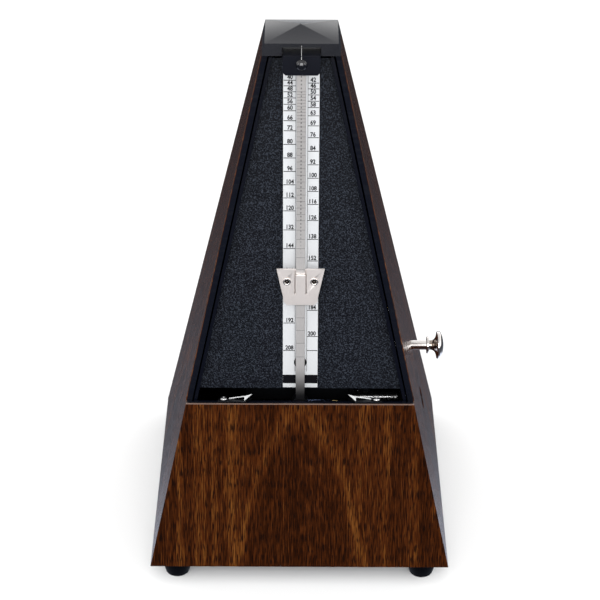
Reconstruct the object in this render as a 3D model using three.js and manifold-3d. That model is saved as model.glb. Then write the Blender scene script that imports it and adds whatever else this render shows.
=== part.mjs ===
// A wind-up pyramid metronome with a bell: case, dial, pendulum, going train, escapement and beat bell.
// Millimetres, +Z up, the front faces -Y, and the origin is on the table under the middle of the case.
import * as THREE from "three";
import { mergeVertices } from "three/addons/utils/BufferGeometryUtils.js";
import Module from "manifold-3d";

const wasm = await Module();
wasm.setup();

// ---------------------------------------------------------------- driving dimensions
const CASE_WIDTH = 117; // outside, at the bottom edge of the case
const CASE_DEPTH = 116;
const CASE_HEIGHT = 197.4; // from the bottom edge of the case to the underside of the cap
const TOP_WIDTH = 28.8; // outside, at the top edge of the case
const TOP_DEPTH = 23.6;
const WALL = 2.5; // case wall
const FOOT_HEIGHT = 8;
const SEAT = 0.3; // gap between pieces that are seated on each other
const PANEL_TOP = 68.8; // top edge of the lower front panel, measured up the sloping front
const DOOR_REBATE = 4.9; // the side walls stop this far behind the front, where the door lies
const RAIL_WIDTH = 1.3;
const RAIL_DEPTH = 3.5;
const RIM_DEPTH = 4.2; // the frame's bar behind the panel's top edge reaches back this far
const RAIL_SINK = 0.4; // the rails' faces behind the edges of the side walls

const DIAL_DEPTH = 9; // dial face behind the sloping front
const DIAL_THICKNESS = 1.5;
const DIAL_BOTTOM = 71.7;
const DIAL_TOP = 200.6;
const SCALE_WIDTH = 13.3;
const SCALE_THICKNESS = 0.5;
const SCALE_BOTTOM = 72.4;
const SCALE_TOP = 198.5;

const PIVOT_HEIGHT = 65.3; // pendulum axis, measured up the sloping front
const PIVOT_DEPTH = 6.6;
const SWING_TILT = THREE.MathUtils.degToRad(4.6); // the pendulum stands this much steeper than the front
const ROD_WIDTH = 3.4;
const ROD_THICKNESS = 0.8;
const ROD_UP = 133.6;
const ROD_DOWN = 44;
const BOB_WIDTH = 18;
const BOB_HEIGHT = 15;
const BOB_THICKNESS = 8;
const HUB_RADIUS = 3.2;
const HUB_LENGTH = 5;
const VERGE_RADIUS = 1.2;
const VERGE_LENGTH = 38.6;

const WEIGHT_TOP = 57.6; // top edge of the sliding weight above the pendulum axis
const WEIGHT_HEIGHT = 14.6;
const WEIGHT_TOP_WIDTH = 18;
const WEIGHT_BOTTOM_WIDTH = 12.6;
const WEIGHT_PLATE = 0.9;
const WEIGHT_GAP = 0.25; // between the rod and each plate of the weight

const PLATE_HALF_SPAN = CASE_WIDTH / 6; // inner faces of the movement plates, left and right of the middle
const PLATE_THICKNESS = 1.5;
const TAB_SCREW_X = PLATE_HALF_SPAN + PLATE_THICKNESS + 4; // screws that hold the plates' feet to the base
const PIVOT_CLEARANCE = 0.2; // round each arbor in its hole
const ARBOR_RADIUS = 1.5;
const PIVOT_RADIUS = 1;
const WINDING_ARBOR_RADIUS = 2.5;
const WINDING_AXIS = [2, 47.5]; // [y, z]
const WINDING_SINK = 1.45; // the square that the key fits ends this far inside the case's outer face
const KEY_HOLE_RADIUS = 4.75;

const GREAT_TEETH = 36;
const CENTRE_PINION_LEAVES = 10;
const GREAT_MODULE = 1;
const CENTRE_TEETH = 36;
const ESCAPE_PINION_LEAVES = 10;
const DRUM_PINION_LEAVES = 8;
const FINE_MODULE = 0.8;
const CROWN_TEETH = 15;
const CROWN_RADIUS = 8;
const CROWN_FROM_PIVOT = 26; // along the verge, from the rod to the middle of the crown wheel
const CROWN_TIP_GAP = 3.4; // from the verge axis to the tips of the crown teeth
const RATCHET_TEETH = 18;
const RATCHET_RADIUS = 7;
const GREAT_X = PLATE_HALF_SPAN - 6.5; // left faces of the great wheel, the ratchet and the centre wheel
const GREAT_THICKNESS = 2;
const RATCHET_X = GREAT_X + GREAT_THICKNESS + 0.6;
const CENTRE_X = 2 - PLATE_HALF_SPAN;
const CROWN_DEPTH = 0.28 * PLATE_HALF_SPAN;
// the escapement bracket's right face, left of the middle
const BRACKET_X = CROWN_TIP_GAP + CROWN_DEPTH + 2.2;
const CLICK_RADIUS = 9.8; // from the winding axis to the click's screw
const CLICK_ANGLE = Math.PI;
const SPRING_RADIUS = 14; // outside of the wound mainspring
const SPRING_END = GREAT_X - 1;
const SPRING_TURNS = 5;
const SPRING_STRIP = 0.5;
const PALLET_ANGLE = THREE.MathUtils.degToRad(48); // each pallet, above and below the crown wheel's axis

const SELECTOR_AXIS = [13, 65.9]; // [y, z]
const SELECTOR_RADIUS = 1.95;
const SELECTOR_STAND = 5.95; // from the case's side to the flange, with the selector in its middle setting
const SELECTOR_FLANGE_RADIUS = 3.45;
const KNOB_RADIUS = 5.65;
const KNOB_LENGTH = 6.0;
const BEAT_PITCH = 1.7; // the selector's step from one setting to the next
const DRUM_X = PLATE_HALF_SPAN + 7.1;
const DRUM_RADIUS = 5.5;
const DRUM_ANGLE = THREE.MathUtils.degToRad(20); // from the centre arbor to the drum arbor
const DRUM_TAIL = 2.2; // the drum's grooved end
const BEAT_CAMS = [12, 8, 6, 4]; // cams a turn for 2, 3, 4 and 6 beats to the bar

const BELL_AXIS = [26, 34];
const BELL_RADIUS = 14;
const BELL_MOUTH_X = PLATE_HALF_SPAN + 4.5;
const BELL_HEIGHT = 10;
const BELL_WALL = 0.9;
const HAMMER_GAP = 1.2; // from the hammer head to the bell at rest
const HAMMER_HEAD_RADIUS = 2.2;
const HAMMER_ARM = 17;
const HAMMER_STRIKE_ANGLE = THREE.MathUtils.degToRad(60);
const HAMMER_PLATE_X = DRUM_X + 0.2;

const FOOT_X = CASE_WIDTH / 2 - 10.1;
const FOOT_Y = CASE_DEPTH / 2 - 8;
const STEM_RADIUS = 2; // each foot's stem, pushed through the base plate into a post of the case
const STEM_LENGTH = 9;
const BASE_THICKNESS = 2.5;

const CATCH_HALF_WIDTH = 6.75;
const CATCH_BOTTOM = 197.2; // the catch's face, measured up the sloping front
const CATCH_TOP = 204.2;
const CATCH_WEB = 1.8; // the catch's roof, which reaches back into the cap
const CATCH_FRONT = 5.9; // the catch's face stands this far out of the front
const CATCH_PLATE = 1.1;
const CATCH_SEAT_DEPTH = 7;
const CATCH_NOTCH_TOP = 206.2;
const CATCH_KNOB_RADIUS = 2;
const CLIP_OUTER = 31.4; // outer end of each door clip from the middle
const CLIP_LENGTH = 10.5;
const CLIP_SCREW = 29.2;

// ---------------------------------------------------------------- values that follow
const SIDE_SLOPE = (CASE_WIDTH - TOP_WIDTH) / 2 / CASE_HEIGHT;
const FRONT_SLOPE = (CASE_DEPTH - TOP_DEPTH) / 2 / CASE_HEIGHT;
const FRONT_LEAN = Math.atan(FRONT_SLOPE);
const CASE_TOP = FOOT_HEIGHT + CASE_HEIGHT;
const SCALE_FACE = DIAL_DEPTH - SCALE_THICKNESS - SEAT;

const halfWidthAt = (z) => CASE_WIDTH / 2 - SIDE_SLOPE * (z - FOOT_HEIGHT);
const halfDepthAt = (z) => CASE_DEPTH / 2 - FRONT_SLOPE * (z - FOOT_HEIGHT);
const WINDING_END = halfWidthAt(WINDING_AXIS[1]) - WINDING_SINK;
const SELECTOR_FLANGE_X = halfWidthAt(SELECTOR_AXIS[1]) + SELECTOR_STAND;
// Half the case's outside width at a height up the sloping front and a depth behind it.
const frontHalfWidth = (up, depth) =>
  CASE_WIDTH / 2 - SIDE_SLOPE * (up * Math.cos(FRONT_LEAN) - depth * Math.sin(FRONT_LEAN));

// ---------------------------------------------------------------- frames
const metronome = new THREE.Group();

// x across, y up the sloping front, z out of it; the origin is the front bottom edge.
const front = new THREE.Group();
front.position.set(0, -CASE_DEPTH / 2, FOOT_HEIGHT);
front.rotation.x = Math.PI / 2 - FRONT_LEAN;
metronome.add(front);

// The pendulum's own frame: y up the rod, z along its axis and out of the front.
const swing = new THREE.Group();
swing.position.set(0, PIVOT_HEIGHT, -PIVOT_DEPTH);
swing.rotation.x = SWING_TILT;
front.add(swing);
metronome.updateMatrixWorld(true);

// ---------------------------------------------------------------- materials
const finish = (color, roughness, metalness) =>
  new THREE.MeshStandardMaterial({ color, roughness, metalness });
const walnut = () => finish(0x4a2a18, 0.35, 0);
const blackPlastic = () => finish(0x1b1d22, 0.4, 0);
const dialBlack = () => finish(0x1e2229, 0.75, 0);
const rubber = () => finish(0x121212, 0.85, 0);
const steel = () => finish(0xc4c2c0, 0.3, 1);
const nickel = () => finish(0xd6cdc6, 0.18, 1);
const brass = () => finish(0xb5923f, 0.3, 1);
const zinc = () => finish(0x8c8c8a, 0.5, 1);
const scaleSilver = () => finish(0xe8e8ea, 0.45, 0.1);

// ---------------------------------------------------------------- solids
// A closed three.js geometry as a manifold-3d solid, moved by a matrix.
function toSolid(geometry, matrix = new THREE.Matrix4()) {
  const bare = geometry.index ? geometry.toNonIndexed() : geometry.clone();
  const only = new THREE.BufferGeometry().setAttribute("position", bare.getAttribute("position"));
  only.applyMatrix4(matrix);
  const merged = mergeVertices(only, 1e-4);
  const mesh = new wasm.Mesh({
    numProp: 3,
    vertProperties: new Float32Array(merged.attributes.position.array),
    triVerts: new Uint32Array(merged.index.array),
  });
  return new wasm.Manifold(mesh);
}

function toGeometry(solid) {
  const mesh = solid.getMesh();
  const positions = new Float32Array(mesh.numVert * 3);
  for (let i = 0; i < mesh.numVert; i++) {
    positions.set(mesh.vertProperties.subarray(i * mesh.numProp, i * mesh.numProp + 3), i * 3);
  }
  const geometry = new THREE.BufferGeometry();
  geometry.setAttribute("position", new THREE.BufferAttribute(positions, 3));
  geometry.setIndex(new THREE.BufferAttribute(new Uint32Array(mesh.triVerts), 1));
  geometry.computeVertexNormals();
  return geometry;
}

const joined = (solids) => toGeometry(solids.reduce((sum, next) => sum.add(next)));
const minus = (solid, cuts) => cuts.reduce((rest, cut) => rest.subtract(cut), solid);
const turnToX = () => new THREE.Matrix4().makeRotationY(Math.PI / 2); // local z becomes x

function part(parent, name, geometry, material, position = [0, 0, 0]) {
  const mesh = new THREE.Mesh(geometry, material);
  mesh.name = name;
  mesh.position.set(...position);
  parent.add(mesh);
  return mesh;
}

// A box given by its low and high corners.
function boxBetween(low, high) {
  const size = high.map((value, axis) => value - low[axis]);
  const box = new THREE.BoxGeometry(...size);
  return box.translate(...low.map((value, axis) => value + size[axis] / 2));
}

// A box whose four sides slope: half sizes [x, y] at the bottom height and at the top height.
function taperedBox(bottomHalf, topHalf, zBottom, zTop) {
  const box = new THREE.BoxGeometry(2, 2, 1);
  const position = box.getAttribute("position");
  for (let i = 0; i < position.count; i++) {
    const top = position.getZ(i) > 0;
    const half = top ? topHalf : bottomHalf;
    position.setXYZ(i, position.getX(i) * half[0], position.getY(i) * half[1], top ? zTop : zBottom);
  }
  return box;
}

// The pyramid's own shape between two heights, drawn in by an inset measured level.
const pyramidSlice = (zBottom, zTop, inset = 0) =>
  taperedBox(
    [halfWidthAt(zBottom) - inset, halfDepthAt(zBottom) - inset],
    [halfWidthAt(zTop) - inset, halfDepthAt(zTop) - inset],
    zBottom,
    zTop,
  );

function outline(points) {
  return new THREE.Shape(points.map(([x, y]) => new THREE.Vector2(x, y)));
}

// A flat plate: an outline with round holes [x, y, radius], from z = low to z = high.
function plate(points, low, high, holes = [], segments = 16) {
  const shape = Array.isArray(points) ? outline(points) : points;
  for (const [x, y, radius] of holes) {
    const hole = new THREE.Path();
    hole.absarc(x, y, radius, 0, 2 * Math.PI, true);
    shape.holes.push(hole);
  }
  const options = { depth: high - low, bevelEnabled: false, curveSegments: segments };
  return new THREE.ExtrudeGeometry(shape, options).translate(0, 0, low);
}

// A turned piece about z from [radius, height] points; a bore closes the profile on itself.
function turned(profile, segments = 20) {
  const closed = profile[0][0] > 0;
  const points = profile.map(([radius, height]) => new THREE.Vector2(radius, height));
  if (closed) points.push(points[0].clone());
  const lathe = new THREE.LatheGeometry(points, segments);
  return lathe.rotateX(Math.PI / 2);
}

const cylinder = (radius, low, high, segments = 16) =>
  turned([[0, low], [radius, low], [radius, high], [0, high]], segments);
const tube = (inner, outer, low, high, segments = 20) =>
  turned([[inner, low], [outer, low], [outer, high], [inner, high]], segments);
const alongX = (geometry) => geometry.rotateY(Math.PI / 2);
const at = (x, y, z) => new THREE.Matrix4().makeTranslation(x, y, z);

// ---------------------------------------------------------------- case
function caseShell() {
  const outside = toSolid(pyramidSlice(FOOT_HEIGHT, CASE_TOP));
  const past = 1; // cuts run this far past what they cut
  const hollow = toSolid(pyramidSlice(FOOT_HEIGHT - past, CASE_TOP + past, WALL));
  const mouth = new THREE.Shape();
  const low = frontHalfWidth(PANEL_TOP, 0) + past;
  const openingTop = CASE_HEIGHT / Math.cos(FRONT_LEAN) + 10;
  mouth.moveTo(-low, PANEL_TOP);
  mouth.lineTo(low, PANEL_TOP);
  mouth.lineTo(low, openingTop);
  mouth.lineTo(-low, openingTop);
  const opening = toSolid(plate(mouth, -DOOR_REBATE, past), front.matrixWorld);
  const inX = turnToX();
  const bore = ([y, z], radius) =>
    toSolid(cylinder(radius, 0, CASE_WIDTH),
      new THREE.Matrix4().makeTranslation(PLATE_HALF_SPAN, y, z).multiply(inX));
  let shell = minus(outside, [hollow, opening]);
  const postLow = FOOT_HEIGHT + BASE_THICKNESS + 2 * SEAT;
  const postHigh = FOOT_HEIGHT + STEM_LENGTH + 3;
  for (const sideX of [-1, 1]) {
    for (const sideY of [-1, 1]) {
      const xs = [sideX * (FOOT_X - 4.2), sideX * (halfWidthAt(postHigh) - WALL / 2)].sort((a, b) => a - b);
      const ys = [sideY * (FOOT_Y - 4.2), sideY * (halfDepthAt(postHigh) - WALL / 2)].sort((a, b) => a - b);
      const post = toSolid(boxBetween([xs[0], ys[0], postLow], [xs[1], ys[1], postHigh]));
      const socket = toSolid(cylinder(STEM_RADIUS + 0.2, postLow - past, postHigh - 2.5, 12),
        at(sideX * FOOT_X, sideY * FOOT_Y, 0));
      shell = shell.add(post.subtract(socket));
    }
  }
  shell = minus(shell, [bore(SELECTOR_AXIS, SELECTOR_RADIUS + PIVOT_CLEARANCE + 0.1),
    bore(WINDING_AXIS, KEY_HOLE_RADIUS)]);
  part(metronome, "case_shell", toGeometry(shell), walnut());
}

function basePlate() {
  const low = FOOT_HEIGHT + 0.2;
  const high = low + BASE_THICKNESS;
  let base = toSolid(pyramidSlice(low, high, WALL + SEAT));
  const holes = [];
  for (const x of [-1, 1]) {
    for (const y of [-1, 1]) {
      holes.push(toSolid(cylinder(STEM_RADIUS + 0.25, 0, high + 1), at(x * FOOT_X, y * FOOT_Y, 0)));
    }
    holes.push(toSolid(cylinder(1.3, 0, high + 1, 10), at(x * TAB_SCREW_X, 0, 0)));
  }
  base = minus(base, holes);
  part(metronome, "base_plate", toGeometry(base), blackPlastic());
}

function feet() {
  const names = { "-1,-1": "front_left", "1,-1": "front_right", "-1,1": "rear_left", "1,1": "rear_right" };
  const stemTop = FOOT_HEIGHT + STEM_LENGTH;
  for (const [key, name] of Object.entries(names)) {
    const [x, y] = key.split(",").map(Number);
    const foot = turned([[0, 0], [4.2, 0], [4.6, 0.5], [5.7, FOOT_HEIGHT - 0.2],
      [STEM_RADIUS, FOOT_HEIGHT - 0.2], [STEM_RADIUS, stemTop], [0, stemTop]], 24);
    part(metronome, name + "_foot", foot, rubber(), [x * FOOT_X, y * FOOT_Y, 0]);
  }
}

function topCap() {
  const eave = 4.4;
  const roof = 2.9;
  const plug = 4;
  const eaveZ = CASE_TOP + SEAT + eave;
  const skirt = toSolid(pyramidSlice(CASE_TOP + SEAT, eaveZ));
  const inside = toSolid(pyramidSlice(CASE_TOP - plug, CASE_TOP + SEAT + 1, WALL + SEAT));
  const peak = toSolid(taperedBox([halfWidthAt(eaveZ), halfDepthAt(eaveZ)], [0.4, 0.4], eaveZ - 0.001,
    eaveZ + roof));
  const frontCut = toSolid(boxBetween([-20, CASE_HEIGHT / Math.cos(FRONT_LEAN) - plug - 3, -DIAL_DEPTH
    - DIAL_THICKNESS - 1],
    [20, CASE_TOP / Math.cos(FRONT_LEAN) - FOOT_HEIGHT + 0.1, 5]), front.matrixWorld);
  const notch = toSolid(boxBetween([-CATCH_HALF_WIDTH - SEAT, CATCH_TOP - CATCH_WEB - 8, -CATCH_SEAT_DEPTH],
    [CATCH_HALF_WIDTH + SEAT, CATCH_NOTCH_TOP, 5]), front.matrixWorld);
  const solid = minus(skirt.add(inside).add(peak), [frontCut, notch]);
  part(metronome, "top_cap", toGeometry(solid), blackPlastic());
}

// ---------------------------------------------------------------- what stands in the opening
function frontFrame() {
  const inset = WALL + SEAT + 0.3;
  const back = -DOOR_REBATE - RAIL_DEPTH;
  const face = -DOOR_REBATE - RAIL_SINK;
  const railTop = 201.5;
  const railLow = PANEL_TOP - 5;
  const solids = [];
  for (const side of [-1, 1]) {
    const outer = (up) => side * (frontHalfWidth(up, DOOR_REBATE) - inset);
    const inner = (up) => outer(up) - side * RAIL_WIDTH;
    const ring = [[outer(railLow), railLow], [outer(railTop), railTop], [inner(railTop), railTop],
      [inner(railLow), railLow]];
    solids.push(toSolid(plate(side > 0 ? ring : ring.reverse(), back, face)));
    const wallX = frontHalfWidth(railLow, 0) - WALL - SEAT;
    const xs = [side * 25, side * (wallX - 0.4)].sort((a, b) => a - b);
    solids.push(toSolid(boxBetween([xs[0], railLow - 2, back], [xs[1], railLow, -WALL - SEAT])));
  }
  const rimX = frontHalfWidth(PANEL_TOP, 0) - WALL - SEAT;
  solids.push(toSolid(boxBetween([-rimX, railLow - 2, -RIM_DEPTH], [rimX, PANEL_TOP - 0.3, -WALL - SEAT])));
  part(front, "front_frame", joined(solids), blackPlastic());
}

function dial() {
  const half = (up) => frontHalfWidth(up, DIAL_DEPTH) - WALL - 2 * SEAT - 0.4;
  const panel = [[-half(DIAL_BOTTOM), DIAL_BOTTOM], [half(DIAL_BOTTOM), DIAL_BOTTOM],
    [half(DIAL_TOP), DIAL_TOP], [-half(DIAL_TOP), DIAL_TOP]];
  part(front, "dial_panel", plate(panel, -DIAL_DEPTH - DIAL_THICKNESS, -DIAL_DEPTH), dialBlack());
  const scale = boxBetween([-SCALE_WIDTH / 2, SCALE_BOTTOM, -DIAL_DEPTH + SEAT],
    [SCALE_WIDTH / 2, SCALE_TOP, -SCALE_FACE]);
  part(front, "scale_plate", scale, scaleSilver());
}

function pendulumCatch() {
  const w = CATCH_HALF_WIDTH;
  const chamfer = 1;
  const face = [[-w + chamfer, CATCH_BOTTOM], [w - chamfer, CATCH_BOTTOM], [w, CATCH_BOTTOM + chamfer],
    [w, CATCH_TOP], [-w, CATCH_TOP], [-w, CATCH_BOTTOM + chamfer]];
  const tongue = toSolid(plate(face, CATCH_FRONT - CATCH_PLATE, CATCH_FRONT));
  const web = toSolid(boxBetween([-w, CATCH_TOP - CATCH_WEB, -CATCH_SEAT_DEPTH + SEAT],
    [w, CATCH_TOP, CATCH_FRONT - 0.01]));
  part(front, "pendulum_catch", joined([tongue, web]), blackPlastic());
  const knob = turned([[0, 0], [2, 0], [2, 0.9], [1.6, 1.5], [0.8, 1.8], [0, 1.9]], 20);
  part(front, "catch_knob", knob, blackPlastic(), [0, 201, CATCH_FRONT + 0.05]);
}

// Two spring clips on the rim behind the front panel, which hold the foot of the door.
function doorClips() {
  const thickness = 0.5;
  const inner = CLIP_OUTER - CLIP_LENGTH;
  const strip = [[-CLIP_OUTER, 0.8], [-inner, 0.5], [-inner + 2.6, 4.1], [-inner + 0.4, 3.3],
    [-CLIP_OUTER, 3.3]];
  for (const [side, name] of [[-1, "left"], [1, "right"]]) {
    const points = side < 0 ? strip : strip.map(([x, depth]) => [-x, depth]).reverse();
    const clip = plate(points, 0, thickness, [[side * CLIP_SCREW, 2.05, 0.85]], 10).rotateX(-Math.PI / 2);
    part(front, name + "_door_clip", clip, nickel(), [0, PANEL_TOP + SEAT, 0]);
    const screw = turned([[0, 0], [1.5, 0], [1.5, 0.5], [0.9, 0.9], [0, 0.9]], 14).rotateX(-Math.PI / 2);
    part(front, name + "_clip_screw", screw, nickel(),
      [side * CLIP_SCREW, PANEL_TOP + 2 * SEAT + thickness, -2.05]);
  }
}

// ---------------------------------------------------------------- pendulum
// The rod is a flat steel strip; the hub, the verge with its two pallets and the bob ride on it.
function pendulum() {
  const half = ROD_THICKNESS / 2;
  const tip = ROD_WIDTH / 2 - 0.7;
  const rod = [[-ROD_WIDTH / 2, -ROD_DOWN], [ROD_WIDTH / 2, -ROD_DOWN], [ROD_WIDTH / 2, ROD_UP - 1],
    [tip, ROD_UP], [-tip, ROD_UP], [-ROD_WIDTH / 2, ROD_UP - 1]];
  part(swing, "pendulum_rod", plate(rod, -half, half), steel());
  const hubFront = -half - SEAT;
  const hubBack = hubFront - HUB_LENGTH;
  const bore = VERGE_RADIUS + PIVOT_CLEARANCE;
  part(swing, "pendulum_hub", tube(bore, HUB_RADIUS, hubBack, hubFront), brass());
  const verge = cylinder(VERGE_RADIUS, -VERGE_LENGTH, hubFront - 0.4, 14);
  part(swing, "verge", verge, steel());
  for (const [side, name] of [[1, "front"], [-1, "rear"]]) {
    const low = VERGE_RADIUS + 0.15;
    const reach = CROWN_TIP_GAP - 0.45;
    const flag = boxBetween([-reach, -0.4, -1.6], [-low, 0.4, 1.6]).rotateZ(side * PALLET_ANGLE);
    const collar = toSolid(tube(low, low + 0.8, -1.6, 1.6, 14));
    const pallet = joined([collar, toSolid(flag)]);
    part(swing, name + "_pallet", pallet, steel(), [0, 0, -CROWN_FROM_PIVOT + side * (CROWN_RADIUS - 1)]);
  }
  const bobShape = outline([[-BOB_WIDTH / 2, 0], [BOB_WIDTH / 2, 0], [BOB_WIDTH / 2 - 2.5, BOB_HEIGHT],
    [-BOB_WIDTH / 2 + 2.5, BOB_HEIGHT]]);
  const block = toSolid(plate(bobShape, -BOB_THICKNESS / 2, BOB_THICKNESS / 2), at(0, -ROD_DOWN - 1, 0));
  const gap = 0.25;
  const slot = toSolid(boxBetween([-ROD_WIDTH / 2 - gap, -ROD_DOWN - gap, -half - gap],
    [ROD_WIDTH / 2 + gap, 0, half + gap]));
  part(swing, "balance_bob", toGeometry(block.subtract(slot)), zinc());
  const screw = turned([[0, 0], [2.2, 0], [2.2, 0.8], [1.6, 1.3], [0, 1.3]], 16);
  part(swing, "bob_screw", screw, steel(), [0, -ROD_DOWN + BOB_HEIGHT / 2, BOB_THICKNESS / 2 + SEAT]);
}

// Two plates held by two rivets, with the rod between them; a sprung tongue in the front plate grips it.
function slidingWeight() {
  const top = WEIGHT_TOP;
  const bottom = WEIGHT_TOP - WEIGHT_HEIGHT;
  const [a, b] = [WEIGHT_TOP_WIDTH / 2, WEIGHT_BOTTOM_WIDTH / 2];
  const kink = bottom + WEIGHT_HEIGHT * 0.2;
  const tongue = 1.85;
  const slot = 0.45;
  const slotFloor = top - WEIGHT_HEIGHT * 0.69;
  const drop = 2.6;
  const body = [[-b + 1.4, bottom], [b - 1.4, bottom], [b, bottom + 1.2], [b + 0.2, kink], [a, top],
    [tongue + slot, top], [tongue + slot, slotFloor], [tongue, slotFloor], [tongue, top - drop],
    [-tongue, top - drop], [-tongue, slotFloor], [-tongue - slot, slotFloor], [-tongue - slot, top],
    [-a, top], [-b - 0.2, kink], [-b, bottom + 1.2]];
  const near = ROD_THICKNESS / 2 + WEIGHT_GAP;
  const rivetX = 5.1;
  const rivetY = top - 5;
  const holes = [-1, 1].map((side) => [side * rivetX, rivetY, 1.15]);
  part(swing, "weight_front_plate", plate(body, near, near + WEIGHT_PLATE, holes), nickel());
  const back = [[-b + 1.4, bottom], [b - 1.4, bottom], [b - 0.4, kink], [a - 1, top - 1], [-a + 1, top - 1],
    [-b + 0.4, kink]];
  part(swing, "weight_back_plate", plate(back, -near - WEIGHT_PLATE, -near, holes), nickel());
  for (const [side, name] of [[-1, "left"], [1, "right"]]) {
    const face = near + WEIGHT_PLATE + 0.15;
    const profile = [[0, -face - 0.4], [1.6, -face - 0.4], [1.6, -face], [0.95, -face], [0.95, face],
      [1.7, face],
      [1.6, face + 0.3], [0.45, face + 0.5], [0.45, face - 1], [0, face - 1]];
    part(swing, name + "_weight_rivet", turned(profile, 16), nickel(), [side * rivetX, rivetY, 0]);
  }
}

// ---------------------------------------------------------------- movement frame
// Where an arbor stands that meshes with two others, [y, z], on the side picked by sign.
function meshPoint([ay, az], reachA, [by, bz], reachB, sign) {
  const span = Math.hypot(by - ay, bz - az);
  const u = [(by - ay) / span, (bz - az) / span];
  const along = (reachA ** 2 - reachB ** 2 + span ** 2) / (2 * span);
  const off = sign * Math.sqrt(reachA ** 2 - along ** 2);
  return [ay + u[0] * along - u[1] * off, az + u[1] * along + u[0] * off];
}

const crownCentre = swing.localToWorld(new THREE.Vector3(0, 0, -CROWN_FROM_PIVOT));
const ESCAPE_AXIS = [crownCentre.y, crownCentre.z];
const greatRadius = (GREAT_TEETH * GREAT_MODULE) / 2;
const centrePinionRadius = (CENTRE_PINION_LEAVES * GREAT_MODULE) / 2;
const centreRadius = (CENTRE_TEETH * FINE_MODULE) / 2;
const escapePinionRadius = (ESCAPE_PINION_LEAVES * FINE_MODULE) / 2;
const drumPinionRadius = (DRUM_PINION_LEAVES * FINE_MODULE) / 2;
const CENTRE_AXIS = meshPoint(WINDING_AXIS, greatRadius + centrePinionRadius, ESCAPE_AXIS, centreRadius
  + escapePinionRadius, -1);
const DRUM_AXIS = [
  CENTRE_AXIS[0] + (centreRadius + drumPinionRadius) * Math.cos(DRUM_ANGLE),
  CENTRE_AXIS[1] + (centreRadius + drumPinionRadius) * Math.sin(DRUM_ANGLE),
];
const PILLARS = { lower_front: [-19, 19], lower_rear: [22, 18], upper_front: [-15, 83],
  upper_rear: [28, 86] };
const POST_AXIS = [WINDING_AXIS[0], WINDING_AXIS[1] - SPRING_RADIUS - 2];

// A plate or wheel lies in the y-z plane: its own x is the object's y, and its own y is the object's z.
const standing = new THREE.Group();
const axes = [new THREE.Vector3(0, 1, 0), new THREE.Vector3(0, 0, 1), new THREE.Vector3(1, 0, 0)];
standing.quaternion.setFromRotationMatrix(new THREE.Matrix4().makeBasis(...axes));
metronome.add(standing);
metronome.updateMatrixWorld(true);

function movementPlate(side, name) {
  const z0 = FOOT_HEIGHT + BASE_THICKNESS + 2 * SEAT;
  const corners = [[-24, z0], [27, z0], [27, 40], [33, 60], [33, 90], [-20, 90], [-24, 78], [-29, 74],
    [-29, 58], [-24, 50]];
  const holes = [WINDING_AXIS, CENTRE_AXIS, ESCAPE_AXIS, DRUM_AXIS].map(([y, z], i) =>
    [y, z, (i ? 1 : WINDING_ARBOR_RADIUS) + PIVOT_CLEARANCE + (i === 3 ? ARBOR_RADIUS - 1 : 0)]);
  if (side > 0) holes.splice(2, 1);
  for (const [y, z] of Object.values(PILLARS)) holes.push([y, z, 1.5 + 0.15]);
  const low = side > 0 ? PLATE_HALF_SPAN : -PLATE_HALF_SPAN - PLATE_THICKNESS;
  const body = toSolid(plate(corners, low, low + PLATE_THICKNESS, holes, 8));
  const tabX = side > 0 ? [low + PLATE_THICKNESS - 0.5, low + PLATE_THICKNESS + 8] : [low - 8, low + 0.5];
  const tab = toSolid(boxBetween([-8, z0, tabX[0]], [8, z0 + PLATE_THICKNESS, tabX[1]]));
  const hole = toSolid(cylinder(1.3, 0, 10, 10).rotateX(-Math.PI / 2), at(0, z0 - 2, side * TAB_SCREW_X));
  part(standing, name, toGeometry(body.add(tab).subtract(hole)), brass());
}

// Four stepped pillars space the plates; their ends stand in the plates' holes.
function pillars() {
  for (const [name, [y, z]] of Object.entries(PILLARS)) {
    const inner = PLATE_HALF_SPAN - 0.1;
    const end = PLATE_HALF_SPAN + PLATE_THICKNESS + 0.6;
    const profile = [[0, -end], [1.5, -end], [1.5, -inner], [2.5, -inner], [2.5, inner], [1.5, inner],
      [1.5, end], [0, end]];
    part(standing, name + "_pillar", turned(profile, 14), brass(), [y, z, 0]);
  }
  for (const [side, name] of [[-1, "left"], [1, "right"]]) {
    const seat = FOOT_HEIGHT + BASE_THICKNESS + 2 * SEAT + PLATE_THICKNESS + 0.1;
    const screw = turned([[0, seat - 2.4], [1, seat - 2.4], [1, seat], [2.2, seat], [2.2, seat + 1.2],
      [0, seat + 1.2]], 12);
    part(metronome, name + "_movement_screw", screw, steel(), [side * TAB_SCREW_X, 0, 0]);
  }
}

// The cock across the front of the plates carries the verge behind the hub.
function frontCock() {
  const low = -15.5;
  const half = PLATE_HALF_SPAN - 0.15;
  const strap = outline([[-half, -4], [half, -4], [half, 4], [-half, 4]]);
  part(swing, "front_cock",
    plate(strap, low, low + PLATE_THICKNESS, [[0, 0, VERGE_RADIUS + PIVOT_CLEARANCE]], 12), brass());
}

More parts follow.
